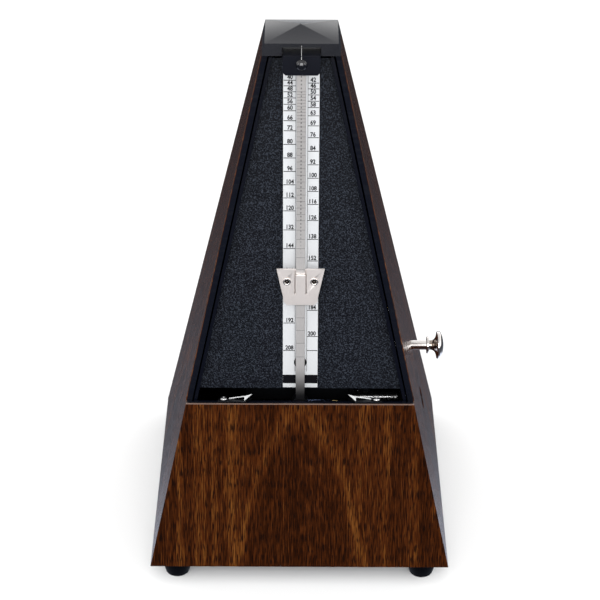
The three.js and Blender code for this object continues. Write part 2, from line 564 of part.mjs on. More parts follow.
// One bent bracket on the left plate holds the inner end of the escape arbor and the rear end of the verge.
function escapementBracket() {
  const plateX = -BRACKET_X;
  const rear = -CROWN_FROM_PIVOT - CROWN_RADIUS - 4;
  const sidePlate = toSolid(boxBetween([plateX - PLATE_THICKNESS, -6, rear], [plateX, 6, -18.5]));
  const foot = toSolid(boxBetween([-PLATE_HALF_SPAN + 0.1, -4, -20], [plateX - 0.5, 4, -18.5]));
  const tab = toSolid(boxBetween([plateX - 0.5, -4, rear], [3, 4, rear + PLATE_THICKNESS]));
  const vergeHole = toSolid(cylinder(VERGE_RADIUS + PIVOT_CLEARANCE, rear - 1, rear + 3, 12));
  const arborHole = toSolid(alongX(cylinder(1.2, -20, 0, 12)), at(0, 0, -CROWN_FROM_PIVOT));
  const bracket = minus(sidePlate.add(foot).add(tab), [vergeHole, arborHole]);
  part(swing, "escapement_bracket", toGeometry(bracket), brass());
}

// ---------------------------------------------------------------- wheels
// How far a cycloidal tooth flank has turned back at a height above the pitch circle.
function flankAngle(pitchRadius, rollingRadius, height) {
  const reach = pitchRadius + rollingRadius;
  const radius = pitchRadius + height;
  const cosine = (reach ** 2 + rollingRadius ** 2 - radius ** 2) / (2 * reach * rollingRadius);
  const rolled = Math.acos(THREE.MathUtils.clamp(cosine, -1, 1));
  const theta = (rolled * rollingRadius) / pitchRadius;
  const x = reach * Math.cos(theta) - rollingRadius * Math.cos(theta + rolled);
  const y = reach * Math.sin(theta) - rollingRadius * Math.sin(theta + rolled);
  return Math.atan2(y, x);
}

// A wheel's outline: radial flanks below the pitch circle and cycloidal ones above it.
function wheelOutline(teeth, module, mateRadius) {
  const pitch = (teeth * module) / 2;
  const half = (0.23 * 2 * Math.PI) / teeth;
  const heights = [0.5 * module, 1.05 * module];
  const points = [];
  for (let i = 0; i < teeth; i++) {
    const middle = (2 * Math.PI * i) / teeth;
    const side = [[pitch - 1.3 * module, half], [pitch, half]];
    for (const h of heights) side.push([pitch + h, half - flankAngle(pitch, mateRadius / 2, h)]);
    for (const [r, a] of side) points.push([r * Math.cos(middle - a), r * Math.sin(middle - a)]);
    for (const [r, a] of side.reverse()) points.push([r * Math.cos(middle + a), r * Math.sin(middle + a)]);
  }
  return points;
}

// A pinion's leaves: radial flanks and rounded tips.
function pinionOutline(leaves, module, phase = 0) {
  const pitch = (leaves * module) / 2;
  const half = (0.18 * 2 * Math.PI) / leaves;
  const points = [];
  for (let i = 0; i < leaves; i++) {
    const middle = phase + (2 * Math.PI * i) / leaves;
    const side = [[pitch - 1.5 * module, half], [pitch, half], [pitch + 0.4 * module, half * 0.8],
      [pitch + 0.62 * module, half * 0.35]];
    for (const [r, a] of side) points.push([r * Math.cos(middle - a), r * Math.sin(middle - a)]);
    for (const [r, a] of side.reverse()) points.push([r * Math.cos(middle + a), r * Math.sin(middle + a)]);
  }
  return points;
}

// A wheel with five round windows and a bore.
function wheel(teeth, module, mateRadius, low, high, bore, window) {
  const holes = [[0, 0, bore]];
  for (let i = 0; i < 5; i++) {
    const a = (2 * Math.PI * i) / 5;
    if (window > 0) holes.push([window * 2.1 * Math.cos(a), window * 2.1 * Math.sin(a), window]);
  }
  return plate(wheelOutline(teeth, module, mateRadius), low, high, holes, 8);
}

const angleTo = ([y, z], [otherY, otherZ]) => Math.atan2(otherZ - z, otherY - y);
// The turn that puts a tooth of one wheel in the middle of a gap of the wheel it meets.
function meshTurn(teeth, from, to, mateTeeth, mateTurn) {
  const toMate = angleTo(from, to);
  const matePhase = (angleTo(to, from) - mateTurn) * mateTeeth;
  return toMate + (matePhase + Math.PI) / teeth;
}

// An arbor and its pinion, cut from one bar: a turned profile and the leaves between two stations.
function pinionArbor(name, axis, profile, leaves, module, [low, high], turn) {
  const bar = toSolid(turned(profile, 12));
  const pinion = toSolid(plate(pinionOutline(leaves, module, turn), low, high));
  part(standing, name, joined([bar, pinion]), steel(), [...axis, 0]);
}

function windingArbor() {
  const r = WINDING_ARBOR_RADIUS;
  const left = -PLATE_HALF_SPAN - PLATE_THICKNESS - 0.5;
  const shoulder = WINDING_END - 9;
  const round = toSolid(cylinder(r, left, shoulder + 0.5, 14));
  const side = 1.7;
  const square = toSolid(boxBetween([-side, -side, shoulder], [side, side, WINDING_END]));
  part(standing, "winding_arbor", joined([round, square]), steel(), [...WINDING_AXIS, 0]);

  const teeth = [];
  for (let i = 0; i < RATCHET_TEETH; i++) {
    const a = (2 * Math.PI * i) / RATCHET_TEETH;
    const b = (2 * Math.PI * (i + 0.9)) / RATCHET_TEETH;
    teeth.push([(RATCHET_RADIUS - 1.2) * Math.cos(a), (RATCHET_RADIUS - 1.2) * Math.sin(a)]);
    teeth.push([RATCHET_RADIUS * Math.cos(b), RATCHET_RADIUS * Math.sin(b)]);
  }
  const ratchet = plate(teeth, RATCHET_X, RATCHET_X + 1.6, [[0, 0, r + 0.15]], 12);
  part(standing, "ratchet_wheel", ratchet, steel(), [...WINDING_AXIS, 0]);
}

function mainspring() {
  const inner = WINDING_ARBOR_RADIUS + 0.4;
  const steps = SPRING_TURNS * 16;
  const radiusAt = (i) => inner + ((SPRING_RADIUS - SPRING_STRIP - inner) * i) / steps;
  const angleAt = (i) => (2 * Math.PI * i * SPRING_TURNS) / steps - Math.PI / 2;
  const edge = (extra) => Array.from({ length: steps + 1 }, (_, i) => {
    const r = radiusAt(i) + extra;
    return [r * Math.cos(angleAt(i)), r * Math.sin(angleAt(i))];
  });
  const strip = [...edge(SPRING_STRIP), ...edge(0).reverse()];
  part(standing, "mainspring", plate(strip, SPRING_END - 9, SPRING_END), steel(), [...WINDING_AXIS, 0]);
  const post = cylinder(1.3, -PLATE_HALF_SPAN + 0.1, SPRING_END, 12);
  part(standing, "spring_post", post, steel(), [...POST_AXIS, 0]);
}

function goingTrain() {
  const greatTurn = 0;
  const great = wheel(GREAT_TEETH, GREAT_MODULE, centrePinionRadius, GREAT_X, GREAT_X + GREAT_THICKNESS,
    WINDING_ARBOR_RADIUS + PIVOT_CLEARANCE, 4.2);
  part(standing, "great_wheel", great, brass(), [...WINDING_AXIS, 0]).rotation.z = greatTurn;

  const centreTurn = meshTurn(CENTRE_PINION_LEAVES, CENTRE_AXIS, WINDING_AXIS, GREAT_TEETH, greatTurn);
  const end = PLATE_HALF_SPAN + PLATE_THICKNESS + 0.4;
  const shoulder = PLATE_HALF_SPAN - 0.4;
  const r = ARBOR_RADIUS;
  const n = PIVOT_RADIUS;
  const leftPivot = [[0, -end], [n, -end], [n, -shoulder], [r, -shoulder]];
  const fine = [CENTRE_X - 0.7, CENTRE_X + 2.3];
  const wide = [GREAT_X - 0.5, GREAT_X + 2.5];
  const whole = [...leftPivot, [r, shoulder], [n, shoulder], [n, end], [0, end]];
  pinionArbor("centre_pinion_arbor", CENTRE_AXIS, whole, CENTRE_PINION_LEAVES, GREAT_MODULE, wide,
    centreTurn);
  const centre = wheel(CENTRE_TEETH, FINE_MODULE, escapePinionRadius, CENTRE_X, CENTRE_X + 1.6, r + 0.12,
    3.4);
  part(standing, "centre_wheel", centre, brass(), [...CENTRE_AXIS, 0]).rotation.z = centreTurn;

  const escapeTurn = meshTurn(ESCAPE_PINION_LEAVES, ESCAPE_AXIS, CENTRE_AXIS, CENTRE_TEETH, centreTurn);
  const inside = -CROWN_TIP_GAP - 4;
  const step = -BRACKET_X - PLATE_THICKNESS - 0.3;
  const short = [...leftPivot, [r, step], [0.9, step], [0.9, inside], [0, inside]];
  pinionArbor("escape_pinion_arbor", ESCAPE_AXIS, short, ESCAPE_PINION_LEAVES, FINE_MODULE, fine, escapeTurn);
  crownWheel();

  const drumTurn = meshTurn(DRUM_PINION_LEAVES, DRUM_AXIS, CENTRE_AXIS, CENTRE_TEETH, centreTurn);
  const drumEnd = halfWidthAt(DRUM_AXIS[1]) - WALL - 2;
  const long = [...leftPivot, [r, drumEnd], [0, drumEnd]];
  pinionArbor("drum_pinion_arbor", DRUM_AXIS, long, DRUM_PINION_LEAVES, FINE_MODULE, fine, drumTurn);
}

// The crown wheel: a brass cup whose rim is cut into slanted teeth that point at the verge.
function crownWheel() {
  const rim = 1.3;
  const tip = -CROWN_TIP_GAP;
  const back = tip - CROWN_DEPTH;
  const depth = 2.6;
  const cup = turned([[1.05, back], [CROWN_RADIUS, back], [CROWN_RADIUS, tip], [CROWN_RADIUS - rim, tip],
    [CROWN_RADIUS - rim, back + 1.2], [1.05, back + 1.2]], CROWN_TEETH * 2);
  const width = 2 * CROWN_RADIUS * Math.tan(Math.PI / CROWN_TEETH);
  const notch = plate([[-width * 0.44, 1], [-width * 0.44, 0], [width * 0.3, -depth], [width * 0.44, 0],
    [width * 0.44, 1]], CROWN_RADIUS - rim - 1, CROWN_RADIUS + 1);
  const cuts = [];
  for (let i = 0; i < CROWN_TEETH; i++) {
    const turn = new THREE.Matrix4().makeRotationZ((2 * Math.PI * (i + 0.5)) / CROWN_TEETH);
    const lay = new THREE.Matrix4().makeBasis(new THREE.Vector3(0, 1, 0), new THREE.Vector3(0, 0, 1),
      new THREE.Vector3(1, 0, 0));
    cuts.push(toSolid(notch, turn.multiply(at(0, 0, tip)).multiply(lay)));
  }
  part(standing, "crown_wheel", toGeometry(minus(toSolid(cup), cuts)), brass(), [...ESCAPE_AXIS, 0]);
}

// The click on the great wheel drops into the ratchet; a bent spring beside it presses it in.
function click() {
  const low = RATCHET_X + 0.1;
  const group = new THREE.Group();
  const [y, z] = WINDING_AXIS;
  group.position.set(y + CLICK_RADIUS * Math.cos(CLICK_ANGLE), z + CLICK_RADIUS * Math.sin(CLICK_ANGLE), 0);
  group.rotation.z = CLICK_ANGLE + Math.PI / 2;
  standing.add(group);
  const lever = [[-2, -1.6], [-0.5, -2.1], [1.5, -2], [5.6, 3.4], [5.3, 4.6], [4.6, 4.4], [1.2, 1.9],
    [-1, 1.8], [-2, 1]];
  part(group, "click", plate(lever, low, low + 1.4, [[0, 0, 1.05]], 10), steel());
  const wheelFace = GREAT_X + GREAT_THICKNESS + 0.15;
  const head = low + 1.6;
  const screw = turned([[0, wheelFace], [0.85, wheelFace], [0.85, head], [1.6, head], [1.6, head + 0.6],
    [0, head + 0.6]], 12);
  part(group, "click_screw", screw, steel());
  const strip = [[-3.2, -4.5], [1.7, -3.55], [2.85, -2.55], [5.1, 0.6], [4.7, 0.9], [2.45, -2.25],
    [1.45, -3.1], [-3.2, -4]];
  const blade = toSolid(plate(strip, low, low + 1));
  const foot = toSolid(cylinder(1, wheelFace, low + 1.2, 12), at(-3.4, -4.2, 0));
  part(group, "click_spring", joined([blade, foot]), steel());
}

// ---------------------------------------------------------------- beat bell
function bell() {
  const crown = BELL_MOUTH_X + BELL_HEIGHT;
  const shape = [];
  const inner = [];
  const steps = 6;
  for (let i = 0; i <= steps; i++) {
    const a = (Math.PI / 2) * (i / steps);
    shape.push([BELL_RADIUS * Math.cos(a * 0.93), BELL_MOUTH_X + BELL_HEIGHT * Math.sin(a)]);
    inner.push([(BELL_RADIUS - BELL_WALL) * Math.cos(a * 0.93), BELL_MOUTH_X + (BELL_HEIGHT - BELL_WALL)
      * Math.sin(a)]);
  }
  const bore = 1.3;
  const profile = [...shape, [bore, crown], [bore, crown - BELL_WALL], ...inner.reverse()];
  part(standing, "bell", turned(profile, 28), brass(), [...BELL_AXIS, 0]);
  const seat = PLATE_HALF_SPAN + PLATE_THICKNESS + 0.1;
  const underBell = crown - BELL_WALL - 0.1;
  const post = turned([[0, seat], [2.6, seat], [2.6, seat + 1], [1.8, seat + 1], [1.8, underBell],
    [1, underBell], [1, crown + 1.8], [0, crown + 1.8]], 14);
  part(standing, "bell_post", post, steel(), [...BELL_AXIS, 0]);
  part(standing, "bell_nut", tube(1.15, 2.6, crown + 0.15, crown + 1.5, 6), steel(), [...BELL_AXIS, 0]);
}

function hammer() {
  const reach = BELL_RADIUS + HAMMER_GAP + HAMMER_HEAD_RADIUS;
  const [s, c] = [Math.sin(HAMMER_STRIKE_ANGLE), Math.cos(HAMMER_STRIKE_ANGLE)];
  const head = [BELL_AXIS[0] + reach * c, BELL_AXIS[1] + reach * s];
  const pivot = [head[0] - HAMMER_ARM * s, head[1] + HAMMER_ARM * c];
  const x = HAMMER_PLATE_X;
  const toDrum = angleTo(pivot, DRUM_AXIS);
  const tail = Math.hypot(DRUM_AXIS[0] - pivot[0], DRUM_AXIS[1] - pivot[1]) - DRUM_RADIUS - 0.5;
  const bar = (angle, length, width) => {
    const matrix = new THREE.Matrix4().makeTranslation(pivot[0], pivot[1],
      0).multiply(new THREE.Matrix4().makeRotationZ(angle));
    return toSolid(boxBetween([0, -width / 2, x], [length, width / 2, x + 0.8]), matrix);
  };
  const hub = toSolid(cylinder(3, x - 1.5, x + 2.3, 16), at(pivot[0], pivot[1], 0));
  const bore = toSolid(cylinder(1.35, x - 3, x + 4, 12), at(pivot[0], pivot[1], 0));
  const arm = bar(angleTo(pivot, head), HAMMER_ARM - HAMMER_HEAD_RADIUS - 0.1, 2.2);
  const lever = hub.add(arm).add(bar(toDrum, tail, 2)).subtract(bore);
  part(standing, "hammer_lever", toGeometry(lever), steel());
  const ball = new THREE.SphereGeometry(HAMMER_HEAD_RADIUS, 12, 8);
  part(standing, "hammer_head", ball, brass(), [...head, x + 0.4]);
  const seat = PLATE_HALF_SPAN + PLATE_THICKNESS + 0.1;
  const stud = turned([[0, seat], [2.2, seat], [2.2, x - 1.8], [1.15, x - 1.8], [1.15, x + 2.6],
    [2, x + 2.6], [2, x + 3.4], [0, x + 3.4]], 12);
  part(standing, "hammer_stud", stud, steel(), [...pivot, 0]);
}

// Four cam discs side by side with 12, 8, 6 and 4 lobes, then the groove for the selector fork.
function camDrum() {
  const bore = ARBOR_RADIUS + PIVOT_CLEARANCE;
  const core = 3.6;
  const solids = [];
  BEAT_CAMS.forEach((lobes, i) => {
    const points = [];
    for (let k = 0; k < lobes; k++) {
      const a = (2 * Math.PI * k) / lobes;
      const w = 0.16;
      points.push([DRUM_RADIUS * Math.cos(a), DRUM_RADIUS * Math.sin(a)]);
      points.push([4.2 * Math.cos(a + w), 4.2 * Math.sin(a + w)]);
      const next = (2 * Math.PI * (k + 1)) / lobes - w;
      const middle = (a + w + next) / 2;
      if (lobes < 12) points.push([4.2 * Math.cos(middle), 4.2 * Math.sin(middle)]);
      points.push([4.2 * Math.cos(next), 4.2 * Math.sin(next)]);
    }
    const low = DRUM_X + i * BEAT_PITCH;
    solids.push(toSolid(plate(points, low, low + BEAT_PITCH - 0.5, [[0, 0, bore]], 8)));
  });
  const end = DRUM_X + BEAT_CAMS.length * BEAT_PITCH;
  solids.push(toSolid(turned([[bore, DRUM_X], [core, DRUM_X], [core, end - 0.5], [2.6, end - 0.5],
    [2.6, end + 1.4], [4.2, end + 1.4], [4.2, end + DRUM_TAIL],
    [bore, end + DRUM_TAIL]], 16)));
  part(standing, "cam_drum", joined(solids), brass(), [...DRUM_AXIS, 0]);
}

// The pull rod through the right wall, its fork in the drum's groove, and the turned knob outside.
function selector() {
  const grooveLow = DRUM_X + BEAT_CAMS.length * BEAT_PITCH - 0.5;
  const forkLow = grooveLow + 0.45;
  const forkThickness = 1;
  const inner = forkLow - 5;
  const r = SELECTOR_RADIUS;
  const flangeX = SELECTOR_FLANGE_X;
  const rod = turned([[0, inner], [r, inner], [r, flangeX], [SELECTOR_FLANGE_RADIUS, flangeX],
    [SELECTOR_FLANGE_RADIUS, flangeX + 0.8], [0.9, flangeX + 0.8], [0.9, flangeX + 3.5],
    [0, flangeX + 3.5]], 24);
  part(standing, "selector_rod", rod, nickel(), [...SELECTOR_AXIS, 0]);
  const k = flangeX + 0.95;
  const end = k + KNOB_LENGTH;
  const R = KNOB_RADIUS;
  const knob = turned([[0, k + 2.9], [1.05, k + 2.9], [1.05, k], [2, k], [1.9, k + 1.4], [2.4, k + 2.2],
    [4.2, k + 3], [R, k + 3.1], [R, k + 4.3],
      [R * 0.86, k + 5], [R * 0.5, k + 5.6], [0, end - 0.2]], 32);
  part(standing, "selector_knob", knob, nickel(), [...SELECTOR_AXIS, 0]);

  const span = Math.hypot(DRUM_AXIS[0] - SELECTOR_AXIS[0], DRUM_AXIS[1] - SELECTOR_AXIS[1]);
  const grip = 2.95;
  const shape = new THREE.Shape();
  shape.moveTo(-4, -4);
  shape.lineTo(span + 2, -4.8);
  shape.lineTo(span + 2, -grip);
  shape.lineTo(span, -grip);
  shape.absarc(span, 0, grip, -Math.PI / 2, Math.PI / 2, true);
  shape.lineTo(span + 2, grip);
  shape.lineTo(span + 2, 4.8);
  shape.lineTo(-4, 4);
  const group = new THREE.Group();
  group.position.set(...SELECTOR_AXIS, 0);
  group.rotation.z = angleTo(SELECTOR_AXIS, DRUM_AXIS);
  standing.add(group);
  part(group, "selector_fork", plate(shape, forkLow, forkLow + forkThickness, [[0, 0, r + 0.15]], 12),
    steel());
}

caseShell();
basePlate();
feet();
topCap();
frontFrame();
dial();
pendulumCatch();
doorClips();
pendulum();
slidingWeight();
movementPlate(-1, "left_movement_plate");
movementPlate(1, "right_movement_plate");
pillars();
frontCock();
escapementBracket();
windingArbor();
mainspring();
goingTrain();
click();
bell();
hammer();
camDrum();
selector();

export default metronome;
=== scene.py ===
# %% [markdown]
# # A wind-up pyramid metronome
# The wooden-looking case leans in on all four sides. In front of a black dial a steel rod swings,
# with a sliding weight on it, and a printed scale behind the rod says how fast it beats.
# A knob on the right pulls the bell's cam drum from one bar length to the next.
# The solid model comes in as a fixed frame. This script gives every solid its finish, and rebuilds
# the small turned, notched and printed pieces that need finer shapes than a solid model carries.

import math

import bmesh
import bpy
from mathutils import Matrix, Vector


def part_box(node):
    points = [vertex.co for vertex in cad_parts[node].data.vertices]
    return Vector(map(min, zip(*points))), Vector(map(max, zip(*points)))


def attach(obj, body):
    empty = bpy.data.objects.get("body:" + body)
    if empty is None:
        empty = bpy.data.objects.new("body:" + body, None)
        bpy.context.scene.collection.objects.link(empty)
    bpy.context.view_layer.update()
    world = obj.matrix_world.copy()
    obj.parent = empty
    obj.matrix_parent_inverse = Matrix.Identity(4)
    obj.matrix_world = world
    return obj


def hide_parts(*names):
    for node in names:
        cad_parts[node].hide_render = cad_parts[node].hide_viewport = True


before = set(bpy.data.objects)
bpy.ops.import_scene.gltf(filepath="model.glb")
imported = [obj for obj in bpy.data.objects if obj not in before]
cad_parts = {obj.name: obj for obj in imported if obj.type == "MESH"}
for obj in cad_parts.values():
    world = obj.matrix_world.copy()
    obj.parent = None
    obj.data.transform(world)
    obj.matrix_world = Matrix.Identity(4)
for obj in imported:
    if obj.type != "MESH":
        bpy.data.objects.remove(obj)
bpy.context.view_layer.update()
MM = 0.001

# %% [markdown]
# ## Camera
# The metronome is seen from in front and well above, from about 0.8 m. A long lens keeps the
# pyramid's edges calm. The camera comes first, because every later choice is judged through it.

# %% Camera
CAMERA_PLACE = (-0.00018, -0.6414, 0.49459)
CAMERA_TILT = math.radians(58.1)
CAMERA_ROLL = math.radians(0.24)
CAMERA_LENS = 114.95

camera_data = bpy.data.cameras.new("camera")
camera_data.lens = CAMERA_LENS
camera_data.sensor_width = 36
camera = bpy.data.objects.new("camera", camera_data)
camera.location = CAMERA_PLACE
camera_turn = Matrix.Rotation(CAMERA_TILT, 3, "X") @ Matrix.Rotation(CAMERA_ROLL, 3, "Z")
camera.rotation_euler = camera_turn.to_euler()
bpy.context.scene.collection.objects.link(camera)
bpy.context.scene.camera = camera
print("camera distance", round(Vector(CAMERA_PLACE).length, 3))

# %% [markdown]
# ## Arithmetic on sockets
# A finish is a network of nodes. Written as nodes alone it is hard to read, so one small class wraps
# an output socket and lets Python's own signs add the Math nodes. Everything that isn't arithmetic
# goes through one method, `node`, which sets a node's choices first and its inputs second.


# %% The wire and the finish
class Wire:
    """One output socket. An expression on wires adds the Math nodes that work it out."""

    def __init__(self, finish, socket):
        self.finish = finish
        self.socket = socket

    def _math(self, operation, left, right):
        return self.finish.node("ShaderNodeMath", {"operation": operation}, {0: left, 1: right})

    def __add__(self, other):
        return self._math("ADD", self, other)

    def __sub__(self, other):
        return self._math("SUBTRACT", self, other)

    def __rsub__(self, other):
        return self._math("SUBTRACT", other, self)

    def __mul__(self, other):
        return self._math("MULTIPLY", self, other)

    __radd__ = __add__
    __rmul__ = __mul__


class Board:
    """A node tree that finishes and the studio's light are wired on."""

    def __init__(self, tree):
        self.nodes = tree.nodes
        self.links = tree.links

    def node(self, kind, settings=None, inputs=None, output=0):
        """A new node with its settings made, then its inputs set or linked."""
        made = self.nodes.new(kind)
        for name, value in (settings or {}).items():
            if name == "stops":
                self._stops(made, value)
            else:
                setattr(made, name, value)
        open_inputs = [socket for socket in made.inputs if socket.enabled]
        for name, value in (inputs or {}).items():
            if isinstance(name, int):
                socket = open_inputs[name]
            else:
                socket = next(found for found in open_inputs if found.name == name)
            self._feed(socket, value)
        return Wire(self, [socket for socket in made.outputs if socket.enabled][output])

    def _stops(self, made, stops):
        ramp = made.color_ramp
        while len(ramp.elements) < len(stops):
            ramp.elements.new(0.5)
        for element, (place, colour) in zip(ramp.elements, stops):
            element.position = place
            element.color = (*colour, 1)

    def _feed(self, socket, value):
        if isinstance(value, Wire):
            self.links.new(value.socket, socket)
        else:
            socket.default_value = value

    def parts(self, vector):
        """The x, y and z of a vector as three wires."""
        first = self.node("ShaderNodeSeparateXYZ", {}, {"Vector": vector})
        return [Wire(self, socket) for socket in first.socket.node.outputs]

    def least(self, first, second):
        """The smaller of two values."""
        return self.node("ShaderNodeMath", {"operation": "MINIMUM"}, {0: first, 1: second})

    def distance(self, value):
        """How far a value is from 0, whatever its sign."""
        return self.node("ShaderNodeMath", {"operation": "ABSOLUTE"}, {0: value})

    def wave(self, value):
        """A sine wave between -1 and 1."""
        return self.node("ShaderNodeMath", {"operation": "SINE"}, {0: value})

    def band(self, value, low, high):
        """0 below low, 1 above high, and a smooth rise between."""
        settings = {"interpolation_type": "SMOOTHSTEP"}
        return self.node("ShaderNodeMapRange", settings, {"Value": value, "From Min": low, "From Max": high})

    def blend(self, factor, first, second):
        """A colour between two others: the first at factor 0, the second at 1."""
        values = {"Factor": factor, "A": self._colour(first), "B": self._colour(second)}
        return self.node("ShaderNodeMix", {"data_type": "RGBA"}, values)

    def _colour(self, value):
        return value if isinstance(value, Wire) else (*value, 1)


class Finish(Board):
    """One material: a Principled surface and the nodes that feed it."""

    def __init__(self, name):
        self.material = bpy.data.materials.new(name)
        self.material.use_nodes = True
        super().__init__(self.material.node_tree)
        self.surface = self.nodes["Principled BSDF"]

    def give(self, **values):
        """Values and wires for the surface's own sockets, such as Base_Color or Roughness."""
        for name, value in values.items():
            self._feed(self.surface.inputs[name.replace("_", " ")], value)
        return self

    def own(self):
        """The piece's own coordinates in metres."""
        return self.node("ShaderNodeTexCoord", output=3)

    def axes(self):
        """The piece's own x, y and z in millimetres, as three wires."""
        return [axis * (1 / MM) for axis in self.parts(self.own())]

    def place(self, x=1.0, y=1.0, z=1.0):
        """The piece's own coordinates in millimetres, stretched along each axis."""
        scale = (x / MM, y / MM, z / MM)
        return self.node("ShaderNodeMapping", {}, {"Vector": self.own(), "Scale": scale})

    def noise(self, place, scale, detail=3.0, roughness=0.5):
        """Cloudy noise between 0 and 1 whose blobs are 1 / scale millimetres apart."""
        values = {"Vector": place, "Scale": scale, "Detail": detail, "Roughness": roughness}
        return self.node("ShaderNodeTexNoise", {}, values)

    def bump(self, height, depth_mm, strength=1.0):
        """The normal of a surface raised by height times depth_mm."""
        values = {"Height": height, "Distance": depth_mm * MM, "Strength": strength}
        return self.node("ShaderNodeBump", {}, values)


print("socket arithmetic ready")

# %% [markdown]
# ## Floor and light
# A studio for a small product is a pale sweep and big soft lamps, so the floor is one wide pale sheet
# and the light comes from the whole surroundings, with large lamps to give the metal an edge. Polished
# pieces don't mirror the sheet, because a white floor in a black case would wash its colour out.

# %% Floor
FLOOR_HALF = 12.0
floor_mesh = bpy.data.meshes.new("floor")
corner_signs = [(-1, -1), (1, -1), (1, 1), (-1, 1)]
corners = [(x * FLOOR_HALF, y * FLOOR_HALF, 0) for x, y in corner_signs]
floor_mesh.from_pydata(corners, [], [(0, 1, 2, 3)])
floor = bpy.data.objects.new("floor", floor_mesh)
bpy.context.scene.collection.objects.link(floor)

paper = Finish("paper_floor")
mottle = paper.noise(paper.place(), 0.01)
paper_colour = paper.blend(mottle, (0.84, 0.84, 0.84), (0.86, 0.86, 0.86))
paper.give(Base_Color=paper_colour, Roughness=0.9, Specular_IOR_Level=0.0)
floor.visible_glossy = False
floor_mesh.materials.append(paper.material)
print("floor", FLOOR_HALF * 2, "m wide")

# %% [markdown]
# A low view looks past the far edge of the sheet. A tall ring of the same paper stands there, so that
# the background stays pale. Only the camera sees it: it throws no light, shadow or reflection.

# %% Backdrop
BACKDROP_RADIUS = 11.0
BACKDROP_HEIGHT = 9.0
BACKDROP_SIDES = 96
backdrop_points, backdrop_faces = [], []
for k in range(BACKDROP_SIDES):
    turn = 2 * math.pi * k / BACKDROP_SIDES
    x, y = BACKDROP_RADIUS * math.cos(turn), BACKDROP_RADIUS * math.sin(turn)
    backdrop_points += [(x, y, 0), (x, y, BACKDROP_HEIGHT)]
    after = (k + 1) % BACKDROP_SIDES
    backdrop_faces.append((2 * k, 2 * k + 1, 2 * after + 1, 2 * after))
backdrop_mesh = bpy.data.meshes.new("backdrop")
backdrop_mesh.from_pydata(backdrop_points, [], backdrop_faces)
backdrop = bpy.data.objects.new("backdrop", backdrop_mesh)
bpy.context.scene.collection.objects.link(backdrop)
backdrop_mesh.materials.append(paper.material)
backdrop.visible_glossy = backdrop.visible_diffuse = backdrop.visible_shadow = False
print("backdrop", BACKDROP_RADIUS, "m away")

# %% [markdown]
# Gloss shows what stands round an object. The surroundings are bright above and behind, and dark in
# front and low down, as in a studio where black card is put before a shiny piece. A sheen low at the
# back lights the side walls. Each lamp is a name, a place, a size in metres and a power in watts.

# %% Lights
SKY = 1.05
BACK_HORIZON = 0.85
FRONT_ROOM = 0.1
DARK_ROOM = 0.06
BACK_SHEEN = 0.3
LOW_GLOW = 1.1
LAMPS = [("lamp_left", (-1.1, -0.7, 0.9), 0.7, 3.5), ("lamp_right", (1.1, -0.6, 0.9), 0.7, 3.5)]
LAMPS += [("lamp_front", (0.0, -1.45, 0.9), 1.0, 17.0)]

world = bpy.data.worlds.new("studio")
world.use_nodes = True
room = Board(world.node_tree)
x, y, z = room.parts(room.node("ShaderNodeTexCoord", output=0))
ahead = room.band(y * -1, 0.05, 0.5)
above = room.band(z - ahead * 0.27, -0.12, 0.08)
low_back = room.band(z * -1, 0.4, 0.66) * BACK_SHEEN + DARK_ROOM + room.band(z * -1, 0.555, 0.63) * LOW_GLOW
below = ahead * FRONT_ROOM + (1 - ahead) * low_back
horizon = (1 - room.band(z, 0.1, 0.75)) * (1 - ahead) * BACK_HORIZON
level = above * (horizon + SKY) + (1 - above) * below
tint = room.blend(above, (0.86, 0.94, 1.12), (1.0, 1.0, 1.0))
light = room.node("ShaderNodeVectorMath", {"operation": "SCALE"}, {"Vector": tint, "Scale": level})
room.links.new(light.socket, world.node_tree.nodes["Background"].inputs["Color"])
world.node_tree.nodes["Background"].inputs["Strength"].default_value = 1
bpy.context.scene.world = world
bpy.context.scene.view_settings.view_transform = "Standard"

for name, place, size, power in LAMPS:
    lamp_data = bpy.data.lights.new(name, "AREA")
    lamp_data.size = size
    lamp_data.energy = power
    lamp = bpy.data.objects.new(name, lamp_data)
    lamp.location = place
    aim = Vector((0, 0, 0.08)) - Vector(place)
    lamp.rotation_euler = aim.to_track_quat("-Z", "Y").to_euler()
    bpy.context.scene.collection.objects.link(lamp)
print("lamps", len(LAMPS))

# %% [markdown]
# ## The walnut of the case
# The case is plastic with a lacquered walnut print. Walnut grain is long and thin, so each layer is
# noise stretched along the height: broad light and dark streaks, fine fibres and short black pores.
# On the middle of the panel the board was cut flat through the trunk, and its year rings show as
# arches inside each other. The height plus the width squared is the same all along such an arch.

# %% Walnut
DARK_HEART = (0.0155, 0.0038, 0.001)
WARM_BROWN = (0.05, 0.0125, 0.0026)
GOLD_STREAK = (0.125, 0.044, 0.0085)
PORE_BLACK = (0.0045, 0.0015, 0.0009)
CORE_BLACK = (0.004, 0.0048, 0.0085)
FILM_EDGE_AND_HIGHLIGHT = (0.15, 0.1, 0.08)
ARCH_WIDTH = 10.0
ARCH_TOP = 70.0
STREAKS = [(-38.5, 2.2), (-33.0, 1.6), (-26.0, 2.0), (24.0, 2.2), (33.5, 1.8), (45.0, 1.5), (-47.0, 1.5)]
FRONT_HALF = 58.5
SIDE_HALF = 58.0
SIDE_SLOPE = 0.2234
FRONT_SLOPE = 0.23404
FOOT_LEVEL = 8.0
SIDE_APART, SIDE_BOARD, BACK_BOARD = 31, 17, 53

